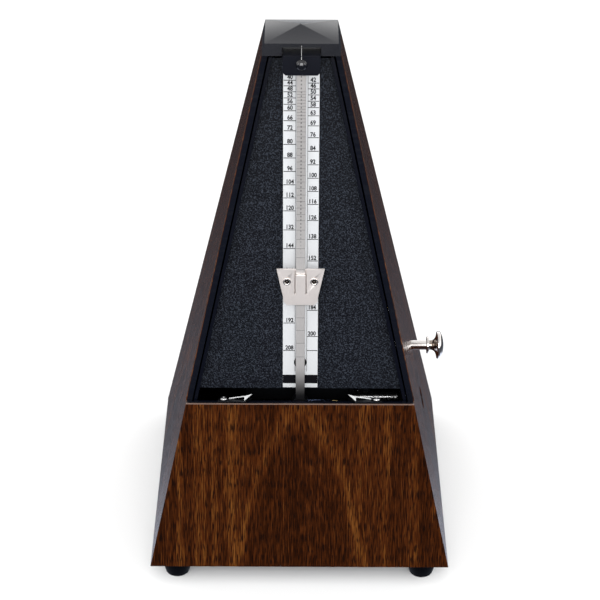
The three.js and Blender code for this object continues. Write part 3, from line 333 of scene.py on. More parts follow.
walnut = Finish("walnut_print")
across, deep, height = walnut.axes()
rise = height - FOOT_LEVEL
side_gap = FRONT_HALF - rise * SIDE_SLOPE - walnut.distance(across)
back_gap = SIDE_HALF - rise * FRONT_SLOPE - deep
front_gap = SIDE_HALF - rise * FRONT_SLOPE + deep
on_side = walnut.band(walnut.least(front_gap, back_gap), 0.3, 0.5)
along_face = across * (1 - on_side) + deep * on_side
which_side = walnut.band(across, -1, 1) * SIDE_BOARD
which_end = walnut.band(deep, -1, 1) * BACK_BOARD
which_face = on_side * (which_side + SIDE_APART) + (1 - on_side) * which_end


def grain(thick, long, detail, roughness=0.5):
    """Noise drawn out along the height: streaks about thick by long millimetres."""
    parts = {"X": along_face * (1 / thick), "Y": which_face, "Z": height * (1 / long)}
    return walnut.noise(walnut.node("ShaderNodeCombineXYZ", {}, parts), 1.0, detail, roughness)


wander = grain(11, 55, 3.0) - 0.5
broad = grain(10, 170, 3.0)
streak = grain(2.3, 90, 4.0, 0.6)
fibre = grain(0.5, 9, 1.5)
pore = grain(0.36, 4.5, 0.8)
gold = 0.0
for middle, half in STREAKS:
    off_streak = walnut.distance(along_face - middle + wander * 7.0)
    gold = gold + (1 - walnut.band(off_streak, half * 0.3, half * 1.6))
arch = height + along_face * along_face * (1 / ARCH_WIDTH) + wander * 16.0 + (streak - 0.5) * 8.0
arch_gold = walnut.band(arch, ARCH_TOP - 8, ARCH_TOP) * (1 - walnut.band(arch, ARCH_TOP + 3, ARCH_TOP + 15))
arch_heart = 1 - walnut.band(arch, ARCH_TOP - 22, ARCH_TOP - 4)
ring = walnut.wave(arch * 0.9) * 0.5 + 0.5
tone = broad * 0.34 + streak * 0.6 + ring * 0.05 + arch_gold * 0.2 + gold * 0.19 - arch_heart * 0.05 - 0.19
tone = tone + (fibre - 0.5) * 1.15
stops = [(0.16, DARK_HEART), (0.45, WARM_BROWN), (0.8, GOLD_STREAK)]
wood_colour = walnut.node("ShaderNodeValToRGB", {"stops": stops}, {0: tone})
pores = 1 - walnut.band(pore, 0.38, 0.5)
wood_colour = walnut.blend(pores * 0.85, wood_colour, PORE_BLACK)
print("streaks", len(STREAKS))

# %% [markdown]
# The print covers the outside alone. The walls' edges, the seat of the door and the inside are the
# black plastic itself. Each point's distance from the four outer faces tells the two apart. Where the
# film was trimmed, along the panel's top and the front corners, a pale line is painted: partly its cut
# edge and partly a painted highlight of the light the rounded edge catches.

# %% Where the print lies
PANEL_TOP_HEIGHT = 75.0
OPEN_ABOVE_PANEL = 9

above_panel = walnut.band(height, PANEL_TOP_HEIGHT, PANEL_TOP_HEIGHT + 0.1)
nearest = walnut.least(walnut.least(side_gap, back_gap), front_gap + above_panel * OPEN_ABOVE_PANEL)
inside = walnut.band(nearest, 0.3, 0.45)
wood_colour = walnut.blend(inside, wood_colour, CORE_BLACK)
# Partly painted highlight: the pale lines along the panel's top and the front corners stand for the film's
# cut edge and for the light caught by the rounded edge.
lip = walnut.band(height, PANEL_TOP_HEIGHT - 0.36, PANEL_TOP_HEIGHT - 0.26) * (1 - above_panel)
lip = lip * (1 - walnut.band(front_gap, 0.5, 0.8))
jamb = (1 - walnut.band(side_gap, 0.2, 0.32)) * (1 - walnut.band(front_gap, 5.3, 5.5)) * above_panel
lip = lip + jamb * 0.2
walnut.give(Base_Color=walnut.blend(lip, wood_colour, FILM_EDGE_AND_HIGHLIGHT), IOR=1.16)
relief = fibre - pores * 0.6 + on_side * (streak * 26 + fibre * 7)
walnut.give(Roughness=0.05 + streak * 0.15 + pores * 0.12 + on_side * fibre * 0.16)
walnut.give(Normal=walnut.bump(relief, 0.004, 0.6))
print("walnut nodes", len(walnut.nodes))

# %% [markdown]
# ## Black plastics
# The cap, the frame behind the door and the catch are moulded in a satin black with a little blue in
# it. The dial is the same plastic with a coarse leathery grain, which breaks the light into specks.
# The feet are soft black rubber.


# %% Black finishes
def plastic(name, colour, rough, grain_scale, grain_depth, ior):
    """A moulded plastic whose skin varies a little in gloss, with a fine grain pressed into it."""
    made = Finish(name)
    cloud = made.noise(made.place(), 0.12)
    skin = made.noise(made.place(), grain_scale, 2.0, 0.55)
    deeper = tuple(c * 0.7 for c in colour)
    made.give(Base_Color=made.blend(cloud, deeper, colour), Roughness=rough + cloud * 0.08, IOR=ior)
    return made.give(Normal=made.bump(skin, grain_depth, 0.6))


black_plastic = plastic("black_plastic", (0.0015, 0.0021, 0.0065), 0.2, 3.0, 0.006, 1.46)
frame_black = plastic("frame_black", (0.0018, 0.0026, 0.0068), 0.25, 2.0, 0.006, 1.22)
button_black = plastic("button_black", (0.004, 0.0045, 0.007), 0.08, 1.0, 0.002, 1.6)
rubber = plastic("foot_rubber", (0.0014, 0.0014, 0.0026), 0.55, 1.5, 0.02, 1.08)

dial_black = Finish("dial_black")
leather = dial_black.noise(dial_black.place(), 1.9, 2.0, 0.7)
cell_values = {"Vector": dial_black.place(), "Scale": 1.7}
cells = dial_black.node("ShaderNodeTexVoronoi", {"feature": "F1"}, cell_values)
speck = dial_black.band(leather, 0.48, 0.64)
dial_colour = dial_black.blend(speck, (0.0018, 0.0025, 0.005), (0.027, 0.033, 0.045))
dial_black.give(Base_Color=dial_colour, Roughness=0.42, IOR=1.2)
dial_black.give(Normal=dial_black.bump(leather + cells * 0.4, 0.15, 0.7))
blacks = (black_plastic, frame_black, button_black, rubber, dial_black)
print("black finishes", [finish.material.name for finish in blacks])

# %% [markdown]
# ## Metals
# Sheet metal keeps the fine lines of the brush that polished it, and turned metal keeps rings round
# its axis. Noise that is stretched along one axis gives those lines: it changes the roughness and
# tilts the surface a very little, so a highlight smears across the lines as it does on real metal.


# %% Metal finishes
def metal(name, colour, rough, lines=(3.0, 3.0, 3.0), depth=0.004, tarnish=0.25):
    """A brushed or polished metal. The lines run along the axis with the smallest stretch."""
    made = Finish(name)
    brush = made.noise(made.place(*lines), 1.0, 3.0, 0.6)
    cloud = made.noise(made.place(), 0.22, 3.0)
    dull = tuple(c * (1 - tarnish) for c in colour)
    made.give(Base_Color=made.blend(made.band(cloud, 0.35, 0.75), colour, dull), Metallic=1.0)
    made.give(Roughness=rough + brush * 0.12 + cloud * 0.05 - 0.06)
    return made.give(Normal=made.bump(brush, depth, 0.5))


nickel = metal("nickel_sheet", (0.97, 0.905, 0.87), 0.52, (1.2, 6.0, 0.35), 0.003, 0.06)
rod_steel = metal("rod_steel", (0.84, 0.81, 0.79), 0.5, (7.0, 7.0, 0.15), 0.004, 0.06)
rivet_nickel = metal("rivet_nickel", (0.8, 0.76, 0.73), 0.2, (3.0, 3.0, 3.0), 0.002, 0.1)
# Painted shade: the bell, the door clips, the movement and the pendulum's hub sit down in the dark pit, and
# this near-black steel stands in for the shade there.
pit_shade_steel = metal("pit_shade_dark_steel", (0.03, 0.032, 0.038), 0.34, (0.4, 5.0, 5.0), 0.004, 0.2)
bright_steel = metal("bright_steel", (0.66, 0.66, 0.66), 0.24, (3.0, 5.0, 5.0), 0.003)
blued_steel = metal("blued_steel", (0.1, 0.13, 0.22), 0.25, (1.0, 6.0, 6.0), 0.003)
brass = metal("rolled_brass", (0.78, 0.56, 0.24), 0.28, (0.4, 5.0, 5.0), 0.004, 0.3)
cast_zinc = metal("cast_zinc", (0.42, 0.42, 0.43), 0.48, (1.3, 1.3, 1.3), 0.02)
knob_chrome = metal("knob_chrome", (0.74, 0.705, 0.68), 0.1, (8.0, 0.5, 0.5), 0.001, 0.06)
clip_nickel = metal("clip_nickel", (0.74, 0.75, 0.75), 0.5, (3.0, 3.0, 3.0), 0.002, 0.05)
clip_nickel.give(Metallic=0.2)
# Painted shade: a dark steel for the floors of the rod's notches.
notch_shade_steel = metal("notch_shade_steel", (0.2, 0.19, 0.185), 0.55, (7.0, 7.0, 0.15), 0.002, 0.1)

metals = (nickel, rod_steel, rivet_nickel, pit_shade_steel, bright_steel, blued_steel, brass, cast_zinc)
metals += (knob_chrome, clip_nickel, notch_shade_steel)
print("metals", [finish.material.name for finish in metals])

# %% [markdown]
# ## Marks and painted shade on the metals
# Three pieces aren't one colour all over. A rivet is painted dark down in its hollow as painted shade,
# the knob's waist behind its disc carries a painted dark reflection, and the rod has a row of dark dots
# painted as shade above and painted shade near its foot, where it goes down into the dark pit. Each
# mark is a band along one of the piece's own axes.

# %% Rivet hollow and knob waist
SWING_UP_Y, SWING_UP_Z = 0.149069, 0.988827
RIVET_RIM_OUT = 48.4
RIVET_SHADE = (0.06, 0.045, 0.038)
WAIST_FROM, WAIST_TO = 52.6, 55.4
WAIST_PAINTED_REFLECTION = (0.3, 0.25, 0.21)

_, rivet_deep, rivet_height = rivet_nickel.axes()
rivet_out = rivet_height * SWING_UP_Y - rivet_deep * SWING_UP_Z
# Painted shade: the hollow of each rivet is coloured dark inside its rolled rim.
shaded = 1 - rivet_nickel.band(rivet_out, RIVET_RIM_OUT - 0.25, RIVET_RIM_OUT)
rivet_nickel.give(Base_Color=rivet_nickel.blend(shaded, (0.8, 0.76, 0.73), RIVET_SHADE))

# Painted dark reflection: the knob's waist behind its disc is coloured a dark brown.
knob_out = knob_chrome.axes()[0]
past_flange = knob_chrome.band(knob_out, WAIST_FROM, WAIST_FROM + 0.2)
painted_waist_reflection = past_flange * (1 - knob_chrome.band(knob_out, WAIST_TO - 0.5, WAIST_TO))
knob_chrome.give(Base_Color=knob_chrome.blend(painted_waist_reflection, (0.74, 0.705, 0.68), WAIST_PAINTED_REFLECTION))
print("waist", round(WAIST_TO - WAIST_FROM, 1), "mm long")

# %% Rod dots and painted shade at its foot
DOTS_PER_MM = 4.4 / (2 * math.pi)
DOT_HALF_WIDTH = (0.16, 0.3)
DOTS_START = (128, 150)
PIT_SHADE_HEIGHT = (74, 89)
TARNISH_HEIGHT = (118, 170)
ROD_BRIGHT = (0.88, 0.85, 0.83)
ROD_TARNISH = (0.42, 0.4, 0.39)
DOT_SHADE = (0.15, 0.145, 0.145)
PIT_SHADE_BLACK = (0.02, 0.02, 0.022)

rod_across, _, rod_height = rod_steel.axes()
on_line = 1 - rod_steel.band(rod_steel.distance(rod_across), *DOT_HALF_WIDTH)
dots = rod_steel.wave(rod_height * (DOTS_PER_MM * 2 * math.pi))
# Painted shade: a row of dark dots along the rod's middle line, in its upper part.
painted_dot_shade = on_line * rod_steel.band(dots, -0.2, 0.5) * rod_steel.band(rod_height, *DOTS_START) * 0.75
# Painted shade: the rod turns black towards its foot, where it goes down into the shaded pit.
painted_pit_shade = 1 - rod_steel.band(rod_height, *PIT_SHADE_HEIGHT)
rod_lines = rod_steel.noise(rod_steel.place(4.0, 4.0, 0.04), 1.0, 3.0, 0.6)
tarnished = rod_steel.band(rod_height, *TARNISH_HEIGHT) * 0.45 + rod_lines * 0.35
clean = rod_steel.blend(tarnished, ROD_BRIGHT, ROD_TARNISH)
worn = rod_steel.blend(painted_dot_shade, clean, DOT_SHADE)
rod_steel.give(Base_Color=rod_steel.blend(painted_pit_shade, worn, PIT_SHADE_BLACK))
print("dots", round(DOTS_PER_MM, 2), "for each millimetre")

# %% [markdown]
# ## Scale and ink
# The scale is a pale silvered sheet, brushed along its length. The ink on it is nearly black and
# matt, so it stays dark when a lamp glances off the sheet.

# %% Scale and ink
scale_silver = Finish("scale_silver")
brushed = scale_silver.noise(scale_silver.place(9.0, 9.0, 0.2), 1.0, 2.0)
wide = scale_silver.noise(scale_silver.place(0.25, 0.25, 0.05), 1.0, 2.0)
silver = scale_silver.blend(brushed * 0.5 + wide * 0.5, (0.51, 0.525, 0.545), (0.62, 0.63, 0.64))
scale_silver.give(Base_Color=silver, Roughness=0.38, Metallic=0.1)
scale_silver.give(Normal=scale_silver.bump(brushed, 0.003, 0.5))

ink = Finish("print_ink")
ink_cloud = ink.noise(ink.place(), 4.0)
ink.give(Base_Color=ink.blend(ink_cloud, (0.003, 0.003, 0.004), (0.007, 0.007, 0.009)), IOR=1.04)
ink.give(Roughness=0.55 + ink_cloud * 0.1)
print("scale finish", scale_silver.material.name, "and", ink.material.name)

# %% [markdown]
# ## Dressing the solids
# A solid from the model has razor edges, which real pieces never have. A Weld closes its seams, a
# Bevel rounds each hard edge by a tenth of a millimetre or two so that it catches light, and
# Weighted Normal keeps the flat faces flat. The vertices themselves stay where the model has them.

# %% Materials and edges of the solids
EDGE_ANGLE = math.radians(28)


def dress(node, finish, edge_mm):
    """Gives a solid its material and a small rounded edge."""
    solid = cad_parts[node]
    solid.data.materials.clear()
    solid.data.materials.append(finish.material)
    for face in solid.data.polygons:
        face.use_smooth = True
    weld = solid.modifiers.new("closed_seams", "WELD")
    weld.merge_threshold = 2e-6
    if edge_mm > 0:
        bevel = solid.modifiers.new("rounded_edge", "BEVEL")
        bevel.width = edge_mm * MM
        bevel.segments = 2
        bevel.limit_method = "ANGLE"
        bevel.angle_limit = EDGE_ANGLE
        bevel.harden_normals = False
    even = solid.modifiers.new("flat_faces", "WEIGHTED_NORMAL")
    even.weight = 60


SOLIDS = [
    (walnut, 0.35, "case_shell"),
    (black_plastic, 0.22, "top_cap base_plate"),
    (frame_black, 0.2, "front_frame pendulum_catch"),
    (dial_black, 0.15, "dial_panel"),
    (scale_silver, 0.08, "scale_plate"),
    (nickel, 0.14, "weight_front_plate weight_back_plate"),
    # Painted shade: the parts down in the pit are finished near-black.
    (pit_shade_steel, 0.12, "bell bell_nut"),
    (pit_shade_steel, 0.08, "left_door_clip right_door_clip"),
    (pit_shade_steel, 0.12, "left_movement_plate right_movement_plate lower_front_pillar lower_rear_pillar"),
    (pit_shade_steel, 0.12, "upper_front_pillar upper_rear_pillar front_cock escapement_bracket pendulum_hub"),
    (brass, 0.05, "great_wheel centre_wheel crown_wheel cam_drum hammer_head"),
    (bright_steel, 0.06, "spring_post bell_post hammer_stud verge front_pallet rear_pallet winding_arbor"),
    (bright_steel, 0.06, "ratchet_wheel click_screw click centre_pinion_arbor escape_pinion_arbor"),
    (bright_steel, 0.06, "drum_pinion_arbor selector_fork hammer_lever left_movement_screw"),
    (bright_steel, 0.06, "right_movement_screw bob_screw"),
    (blued_steel, 0.04, "mainspring click_spring"),
    (cast_zinc, 0.3, "balance_bob"),
]
for finish, edge_mm, names in SOLIDS:
    for node in names.split():
        dress(node, finish, edge_mm)
print("dressed", sum(len(names.split()) for _, _, names in SOLIDS))

# %% [markdown]
# ## Three frames to build in
# The dial leans back with the front of the case, the pendulum stands a little steeper, and the
# knob and the winding square lie level along the width. A matrix for each lets a piece be drawn in
# its own flat millimetres: across, up and out.

# %% Frames
CASE_FRONT_EDGE = Vector((0, -58, 8)) * MM
FRONT_LEAN = math.atan((116 - 23.6) / 2 / 197.4)
SWING_AXIS = Vector((0, -36.693, 70.078)) * MM
SWING_LEAN = math.atan2(SWING_UP_Y, SWING_UP_Z)


def leaning(origin, lean):
    """A frame whose x runs across, y up a face that leans back by lean, and z out of that face."""
    up = Vector((0, math.sin(lean), math.cos(lean)))
    out = Vector((0, -math.cos(lean), math.sin(lean)))
    turn = Matrix((Vector((1, 0, 0)), up, out)).transposed().to_4x4()
    return Matrix.Translation(origin) @ turn


DIAL_FRAME = leaning(CASE_FRONT_EDGE, FRONT_LEAN)
SWING_FRAME = leaning(SWING_AXIS, SWING_LEAN)
print("lean of the front", round(math.degrees(FRONT_LEAN), 2))


def keep(name, mesh, finish, body, replaced=()):
    """Turns a finished mesh into a named piece that rides on a body of the frame."""
    mesh.materials.append(finish.material)
    piece = bpy.data.objects.new(name, mesh)
    bpy.context.scene.collection.objects.link(piece)
    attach(piece, body)
    if replaced:
        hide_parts(*replaced)
    return piece


def from_lists(name, vertices, faces, place, smooth=True):
    """A mesh from vertices in millimetres, put in place, with its faces turned outwards."""
    made = bmesh.new()
    corners = [made.verts.new(place @ (Vector(v) * MM)) for v in vertices]
    for face in faces:
        made.faces.new([corners[i] for i in face])
    bmesh.ops.recalc_face_normals(made, faces=made.faces)
    for face in made.faces:
        face.smooth = smooth
    mesh = bpy.data.meshes.new(name)
    made.to_mesh(mesh)
    made.free()
    return mesh


# %% [markdown]
# ## Turned pieces
# A lathe makes the knob, the pull rod, the feet, the rivets and the screws. Each is a profile of
# radius and length, swept round an axis in many steps. A hard edge in the profile is drawn as two
# points close together, so smooth shading keeps it crisp.


# %% Lathe
def lathe(name, profile, place, sides=48):
    """Sweeps (radius, length) points round the z axis of place. A radius of 0 closes an end."""
    vertices, rings = [], []
    for radius, length in profile:
        count = 1 if radius == 0 else sides
        rings.append(range(len(vertices), len(vertices) + count))
        for k in range(count):
            turn = 2 * math.pi * k / sides
            vertices.append((radius * math.cos(turn), radius * math.sin(turn), length))
    faces = []
    for low, high in zip(rings, rings[1:]):
        for k in range(sides):
            after = (k + 1) % sides
            if len(low) == 1:
                faces.append((low[0], high[k], high[after]))
            elif len(high) == 1:
                faces.append((low[k], high[0], low[after]))
            else:
                faces.append((low[k], high[k], high[after], low[after]))
    return from_lists(name, vertices, faces, place)


def softened(profile, radius_mm):
    """The profile with each inner corner cut back into a small round of three points."""
    points = [Vector(p) for p in profile]
    result = [tuple(points[0])]
    for before, corner, after in zip(points, points[1:], points[2:]):
        to_before, to_after = before - corner, after - corner
        reach = min(radius_mm, to_before.length * 0.45, to_after.length * 0.45)
        start = corner + to_before.normalized() * reach
        end = corner + to_after.normalized() * reach
        middle = (start + end) * 0.25 + corner * 0.5
        result += [tuple(start), tuple(middle), tuple(end)]
    return result + [tuple(points[-1])]


# %% [markdown]
# The feet are moulded rubber plugs, wider at the top than at the floor, with a stem that is pressed
# into the base.

# %% Feet
FOOT_PROFILE = [(0, 0), (4.6, 0), (6.6, 7.8), (2, 7.8), (2, 17), (0, 17)]
for name in ("front_left", "front_right", "rear_left", "rear_right"):
    low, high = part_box(name + "_foot")
    middle = Matrix.Translation(((low.x + high.x) / 2, (low.y + high.y) / 2, 0))
    mesh = lathe(name + "_rubber_foot", softened(FOOT_PROFILE, 0.3), middle)
    keep(name + "_rubber_foot", mesh, rubber, "case", [name + "_foot"])
print("foot radius", FOOT_PROFILE[2][0], "mm")

# %% [markdown]
# ## The bell selector
# The knob is a turned disc with a hollow back and a domed face, on a plain rod that slides in the
# wall. A thin flange behind the knob stops it against the case. Everything is plated, so its shape
# shows through reflections alone, and the profile matters more than on any other piece.

# %% Selector rod and knob
rod_low, rod_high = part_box("selector_rod")
knob_low, knob_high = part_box("selector_knob")
knob_axis = Vector((0, (knob_low.y + knob_high.y) / 2, (knob_low.z + knob_high.z) / 2))
LEVEL = Matrix.Translation(knob_axis) @ Matrix.Rotation(math.pi / 2, 4, "Y")
rod_end, rod_start = rod_high.x / MM, rod_low.x / MM
flange = rod_end - 3.5
rod_profile = [(0, rod_start), (1.95, rod_start), (1.95, flange), (3.45, flange), (3.45, flange + 0.8)]
rod_profile += [(0.9, flange + 0.8), (0.9, rod_end), (0, rod_end)]
mesh = lathe("bell_pull_rod", softened(rod_profile, 0.15), LEVEL)
keep("bell_pull_rod", mesh, knob_chrome, "beat_selector", ["selector_rod"])

back = knob_low.x / MM
radius = (knob_high.z - knob_low.z) / 2 / MM
knob_profile = [(1.05, back + 2.9), (1.05, back), (2.0, back), (1.95, back + 0.7), (2.05, back + 1.4)]
knob_profile += [(2.5, back + 2.1), (3.2, back + 2.6), (4.2, back + 2.9), (radius * 0.96, back + 3.1)]
knob_profile += [(radius, back + 3.5), (radius, back + 4.3), (radius * 0.94, back + 4.7)]
knob_profile += [(radius * 0.9, back + 4.72)]
knob_profile += [(radius * 0.84, back + 4.95), (radius * 0.66, back + 5.4), (radius * 0.4, back + 5.75)]
knob_profile += [(radius * 0.16, back + 5.93), (0, back + 5.97)]
knob_profile = [(0, back + 2.9)] + knob_profile
mesh = lathe("bell_knob", softened(knob_profile, 0.18), LEVEL, 64)
keep("bell_knob", mesh, knob_chrome, "beat_selector", ["selector_knob"])
print("knob radius", round(radius, 2), "mm")

# %% [markdown]
# ## The pendulum rod
# The rod is a flat strip with a shallow notch across it for each tempo, into which the weight's
# tongue clicks. The notches follow the law of a rod with a fixed bob below and a sliding weight
# above: the squared tempo times the turning mass equals the pull of the masses about the pivot.
# The floor of each notch is left dull and painted dark, as painted shade in the notch, so it reads as a thin
# dark line.

# %% Tempo law
LEFT_TEMPI = [40, 44, 48, 52, 56, 60, 66, 72, 80, 88, 96, 104, 112, 120, 132, 144, 160, 176, 192, 208]
RIGHT_TEMPI = [42, 46, 50, 54, 58, 63, 69, 76, 84, 92, 100, 108, 116, 126, 138, 152, 168, 184, 200]
PULL = 3.4423e6
BALANCE_HEIGHT = 136.41
BOB_TURNING = 8855.6
PIVOT_UP = 65.3


def weight_height(tempo):
    """How far above the pivot the weight sits, in millimetres, for that many beats a minute."""
    square = tempo * tempo
    inside = PULL * PULL - 4 * square * (square * BOB_TURNING - PULL * BALANCE_HEIGHT)
    return (math.sqrt(inside) - PULL) / (2 * square)


print("weight at 40:", round(weight_height(40), 1), "at 208:", round(weight_height(208), 1))

# %% Rod
ROD_HALF_WIDTH = 1.7
ROD_HALF_THICKNESS = 0.4
ROD_BOTTOM = -44.0
ROD_TOP = 133.6
NOTCH_HALF_WIDTH = 0.06
NOTCH_DEPTH = 0.012
NOTCH_ABOVE_WEIGHT = 1.0
CORNER = 0.1
TIP_TAPER = 0.7
SIDES = 6
FRONT_SIDE = 2

stations = [(ROD_BOTTOM, 0.0)]
for tempo in sorted(LEFT_TEMPI + RIGHT_TEMPI, reverse=True):
    up = weight_height(tempo) + NOTCH_ABOVE_WEIGHT
    stations += [(up - NOTCH_HALF_WIDTH, 0.0), (up, NOTCH_DEPTH), (up + NOTCH_HALF_WIDTH, 0.0)]
stations += [(ROD_TOP - 1.0, 0.0), (ROD_TOP, 0.0)]

rod_vertices, rod_faces = [], []
for up, cut in stations:
    half = ROD_HALF_WIDTH - (TIP_TAPER if up == ROD_TOP else 0)
    face = ROD_HALF_THICKNESS - cut
    rod_vertices += [(-half, up, -ROD_HALF_THICKNESS), (-half, up, face - CORNER), (-half + CORNER, up, face)]
    rod_vertices += [(half - CORNER, up, face), (half, up, face - CORNER), (half, up, -ROD_HALF_THICKNESS)]
for k in range(len(stations) - 1):
    for side in range(SIDES):
        a, b = SIDES * k + side, SIDES * k + (side + 1) % SIDES
        rod_faces.append((a, b, b + SIDES, a + SIDES))
rod_faces += [tuple(range(SIDES)), tuple(range(len(rod_vertices) - SIDES, len(rod_vertices)))]
mesh = from_lists("notched_rod", rod_vertices, rod_faces, SWING_FRAME, smooth=False)
keep("notched_rod", mesh, rod_steel, "pendulum", ["pendulum_rod"])
# The notch floors take the dark steel as painted shade.
mesh.materials.append(notch_shade_steel.material)
for k in range(len(stations) - 1):
    if stations[k][1] > 0 or stations[k + 1][1] > 0:
        mesh.polygons[SIDES * k + FRONT_SIDE].material_index = 1
print("notches", len(LEFT_TEMPI) + len(RIGHT_TEMPI))

# %% [markdown]
# ## The printed scale
# The scale is a silvered strip with two columns of tempo numbers, each number standing on its own
# line. The print is real ink: letters and lines a few hundredths of a millimetre high, joined into
# one thin piece, so the numbers stay sharp from any side. A plain dot and a plain black band close
# the scale at its foot.

# %% Print
SCALE_FACE_DEPTH = 8.2
INK_HEIGHT = 0.03
DIGIT_HEIGHT = 2.3
COLUMN_MIDDLE = 4.25
READ_ABOVE = 2.15
SCALE_EDGE = 6.5
LEFT_BORDER = -2.0
RIGHT_BORDER = 2.45
LINE_WIDTH = 0.26
BORDER_WIDTH = 0.14
INK_START = 0.005
NUMBER_WEIGHT = 0.075
NUMBER_WIDTH = 0.88
NUMBER_GAP = 0.3
CAPITAL_SHARE = 0.72
BAND_OVERHANG = 0.12
SCALE_UP = (79.0, 198.4)
BAND_UP = (74.1, 77.6)
DOT_UP = 82.7
DOT_RADIUS = 2.4
DOT_SIDES = 40

print("scale", SCALE_UP[1] - SCALE_UP[0], "mm long")

# %% Ink shapes
print_mesh = bmesh.new()
PRINT_FRAME = DIAL_FRAME @ Matrix.Translation((0, 0, -SCALE_FACE_DEPTH * MM))


def ink_box(left, right, bottom, top):
    """A flat printed bar, between those edges in millimetres across and up."""
    bottom_ring = [(left, bottom), (right, bottom), (right, top), (left, top)]
    corners = []
    for level in (INK_START, INK_HEIGHT):
        corners += [print_mesh.verts.new(PRINT_FRAME @ (Vector((x, y, level)) * MM)) for x, y in bottom_ring]
    for face in ((3, 2, 1, 0), (4, 5, 6, 7), (0, 1, 5, 4), (1, 2, 6, 5), (2, 3, 7, 6), (3, 0, 4, 7)):
        print_mesh.faces.new([corners[i] for i in face])


def ink_dot(up, radius):
    """A plain round printed dot on the middle line of the scale."""
    rings = []
    for level in (INK_START, INK_HEIGHT):
        turns = [2 * math.pi * k / DOT_SIDES for k in range(DOT_SIDES)]
        places = [Vector((radius * math.cos(a), up + radius * math.sin(a), level)) * MM for a in turns]
        rings.append([print_mesh.verts.new(PRINT_FRAME @ place) for place in places])
    low, high = rings
    print_mesh.faces.new(low[::-1])
    print_mesh.faces.new(high)
    for k in range(DOT_SIDES):
        after = (k + 1) % DOT_SIDES
        print_mesh.faces.new((low[k], low[after], high[after], high[k]))


def ink_number(tempo, across, up):
    """A number, centred across and standing on up, as a thin raised print."""
    letters = bpy.data.curves.new("number", "FONT")
    letters.body = str(tempo)
    letters.size = DIGIT_HEIGHT * MM
    letters.align_x = "CENTER"
    letters.extrude = INK_HEIGHT * MM / 2
    letters.offset = NUMBER_WEIGHT * MM
    letters.resolution_u = 3
    holder = bpy.data.objects.new("number", letters)
    bpy.context.scene.collection.objects.link(holder)
    bpy.context.view_layer.update()
    shape = bpy.data.meshes.new_from_object(holder.evaluated_get(bpy.context.evaluated_depsgraph_get()))
    narrow = Matrix.Diagonal((NUMBER_WIDTH, 1, 1, 1))
    place = PRINT_FRAME @ Matrix.Translation(Vector((across, up, INK_HEIGHT / 2 + INK_START)) * MM)
    shape.transform(place @ narrow)
    print_mesh.from_mesh(shape)
    bpy.data.objects.remove(holder)
    bpy.data.curves.remove(letters)
    bpy.data.meshes.remove(shape)


print("ink starts", INK_START, "mm off the sheet")

# %% Printing the scale
for tempi, side in ((LEFT_TEMPI, -1), (RIGHT_TEMPI, 1)):
    edges = (-SCALE_EDGE, LEFT_BORDER) if side < 0 else (RIGHT_BORDER, SCALE_EDGE)
    for tempo in tempi:
        up = PIVOT_UP + READ_ABOVE + weight_height(tempo)
        ink_box(*edges, up - LINE_WIDTH / 2, up + LINE_WIDTH / 2)
        if up + LINE_WIDTH + DIGIT_HEIGHT * CAPITAL_SHARE < SCALE_UP[1]:
            ink_number(tempo, side * COLUMN_MIDDLE + 0.1, up + LINE_WIDTH / 2 + NUMBER_GAP)
last_line = PIVOT_UP + READ_ABOVE + weight_height(208)
ink_box(RIGHT_BORDER, SCALE_EDGE, last_line - LINE_WIDTH / 2, last_line + LINE_WIDTH / 2)
for border in (LEFT_BORDER, RIGHT_BORDER):
    ink_box(border - BORDER_WIDTH / 2, border + BORDER_WIDTH / 2, SCALE_UP[0], SCALE_UP[1])
ink_box(-SCALE_EDGE - BAND_OVERHANG, SCALE_EDGE + BAND_OVERHANG, *BAND_UP)
ink_dot(DOT_UP, DOT_RADIUS)
mesh = bpy.data.meshes.new("tempo_print")
print_mesh.to_mesh(mesh)
print_mesh.free()
keep("tempo_print", mesh, ink, "case")
print("print faces", len(mesh.polygons))

# %% [markdown]
# ## Rivets, screws and the catch's button
# The weight's two plates are held by hollow rivets, rolled over at the front. The two spring clips
# behind the panel are screwed down with small round-headed screws. The catch carries a round button
# with a groove, so that a finger nail finds it.

# %% Rivets and button
for side, name in ((-1, "left"), (1, "right")):
    low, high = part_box(name + "_weight_rivet")
    to_swing = SWING_FRAME.inverted() @ ((low + high) / 2)
    rivet_place = SWING_FRAME @ Matrix.Translation((to_swing.x, to_swing.y, 0))
    rivet = [(0, -2.1), (1.6, -2.1), (1.65, -1.72), (1.2, -1.7), (1.2, 1.7), (1.45, 1.7), (1.5, 1.76)]
    rivet += [(1.46, 1.86), (1.25, 1.94), (0.98, 1.86), (0.86, 1.7), (0.82, 1.3), (0.82, 0.4), (0.3, 0.4)]
    rivet += [(0.3, 1.5), (0, 1.5)]
    mesh = lathe(name + "_hollow_rivet", rivet, rivet_place, 32)
    keep(name + "_hollow_rivet", mesh, rivet_nickel, "sliding_weight", [name + "_weight_rivet"])

low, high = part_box("catch_knob")
to_dial = DIAL_FRAME.inverted() @ ((low + high) / 2)
button_place = DIAL_FRAME @ Matrix.Translation((to_dial.x, 201 * MM, 5.95 * MM))
button = [(0, 0), (2.0, 0), (2.05, 0.3), (1.9, 0.5), (1.4, 0.6), (1.35, 0.85), (1.8, 1.0), (1.85, 1.2)]
button += [(1.7, 1.55), (1.25, 1.85), (0.65, 2.0), (0, 2.04)]
mesh = lathe("catch_button", button, button_place, 40)
keep("catch_button", mesh, button_black, "case", ["catch_knob"])

# %% [markdown]
# The clip screws stand on the panel's rim. The tongue of each clip is a thin bent sheet whose raised
# point would press on the door's foot, and a fine spring wire runs up from the catch into the cap.

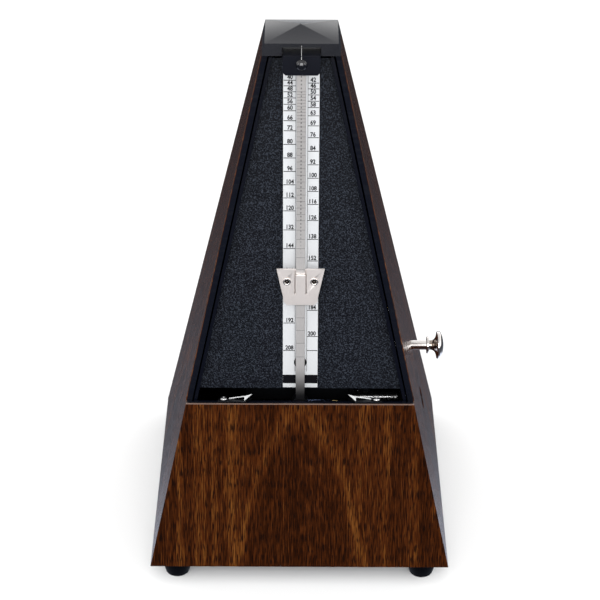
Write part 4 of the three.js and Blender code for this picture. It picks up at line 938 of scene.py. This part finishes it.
# %% Clip screws
SCREW_HEAD = [(0, 0), (1.4, 0), (1.4, 0.35), (1.15, 0.66), (0.8, 0.8), (0.5, 0.82), (0.42, 0.25), (0, 0.25)]
STAND_UP = Matrix.Rotation(-math.pi / 2, 4, "X")
for name in ("left", "right"):
    low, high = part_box(name + "_clip_screw")
    to_dial = DIAL_FRAME.inverted() @ ((low + high) / 2)
    foot = to_dial.y - 0.45 * MM
    place = DIAL_FRAME @ Matrix.Translation((to_dial.x, foot, to_dial.z)) @ STAND_UP
    mesh = lathe(name + "_round_screw", SCREW_HEAD, place, 32)
    keep(name + "_round_screw", mesh, bright_steel, "case", [name + "_clip_screw"])
print("screw heads", SCREW_HEAD[1][0] * 2, "mm wide")

# %% Clip tongues and the catch's spring wire
CLIP_TOP = 69.62
TONGUE = [(-21.3, 0.95), (-18.45, 3.95), (-20.7, 3.2), (-27.2, 3.2), (-27.2, 2.95), (-21.3, 2.85)]
TONGUE_LIFT = (0.0, 1.5, 1.1, 0.15, 0.0, 0.9)
TONGUE_SHEET = 0.14
for side, name in ((1, "left"), (-1, "right")):
    vertices = [(side * x, CLIP_TOP + lift, -deep) for (x, deep), lift in zip(TONGUE, TONGUE_LIFT)]
    vertices += [(x, up + TONGUE_SHEET, out) for x, up, out in vertices]
    count = len(TONGUE)
    faces = [(0, 1, 2, 5), (2, 3, 4, 5), (6, 7, 8, 11), (8, 9, 10, 11)]
    faces += [(k, (k + 1) % count, (k + 1) % count + count, k + count) for k in range(count)]
    mesh = from_lists(name + "_clip_tongue", vertices, faces, DIAL_FRAME, smooth=False)
    keep(name + "_clip_tongue", mesh, clip_nickel, "case")

WIRE_RADIUS = 0.09
cap_low, cap_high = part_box("top_cap")
wire_top = Vector((0, cap_low.y - 0.1 * MM, cap_high.z - 3.2 * MM))
wire_foot = DIAL_FRAME @ (Vector((0, 203.1, 7.2)) * MM)
along = wire_top - wire_foot
wire_place = Matrix.Translation(wire_foot) @ along.to_track_quat("Z", "Y").to_matrix().to_4x4()
wire_length = along.length / MM
wire = [(0, 0), (WIRE_RADIUS, 0.05), (WIRE_RADIUS, wire_length - 0.05), (0, wire_length)]
mesh = lathe("catch_spring_wire", wire, wire_place, 12)
keep("catch_spring_wire", mesh, bright_steel, "case")
print("wire", round(wire_length, 1), "mm")
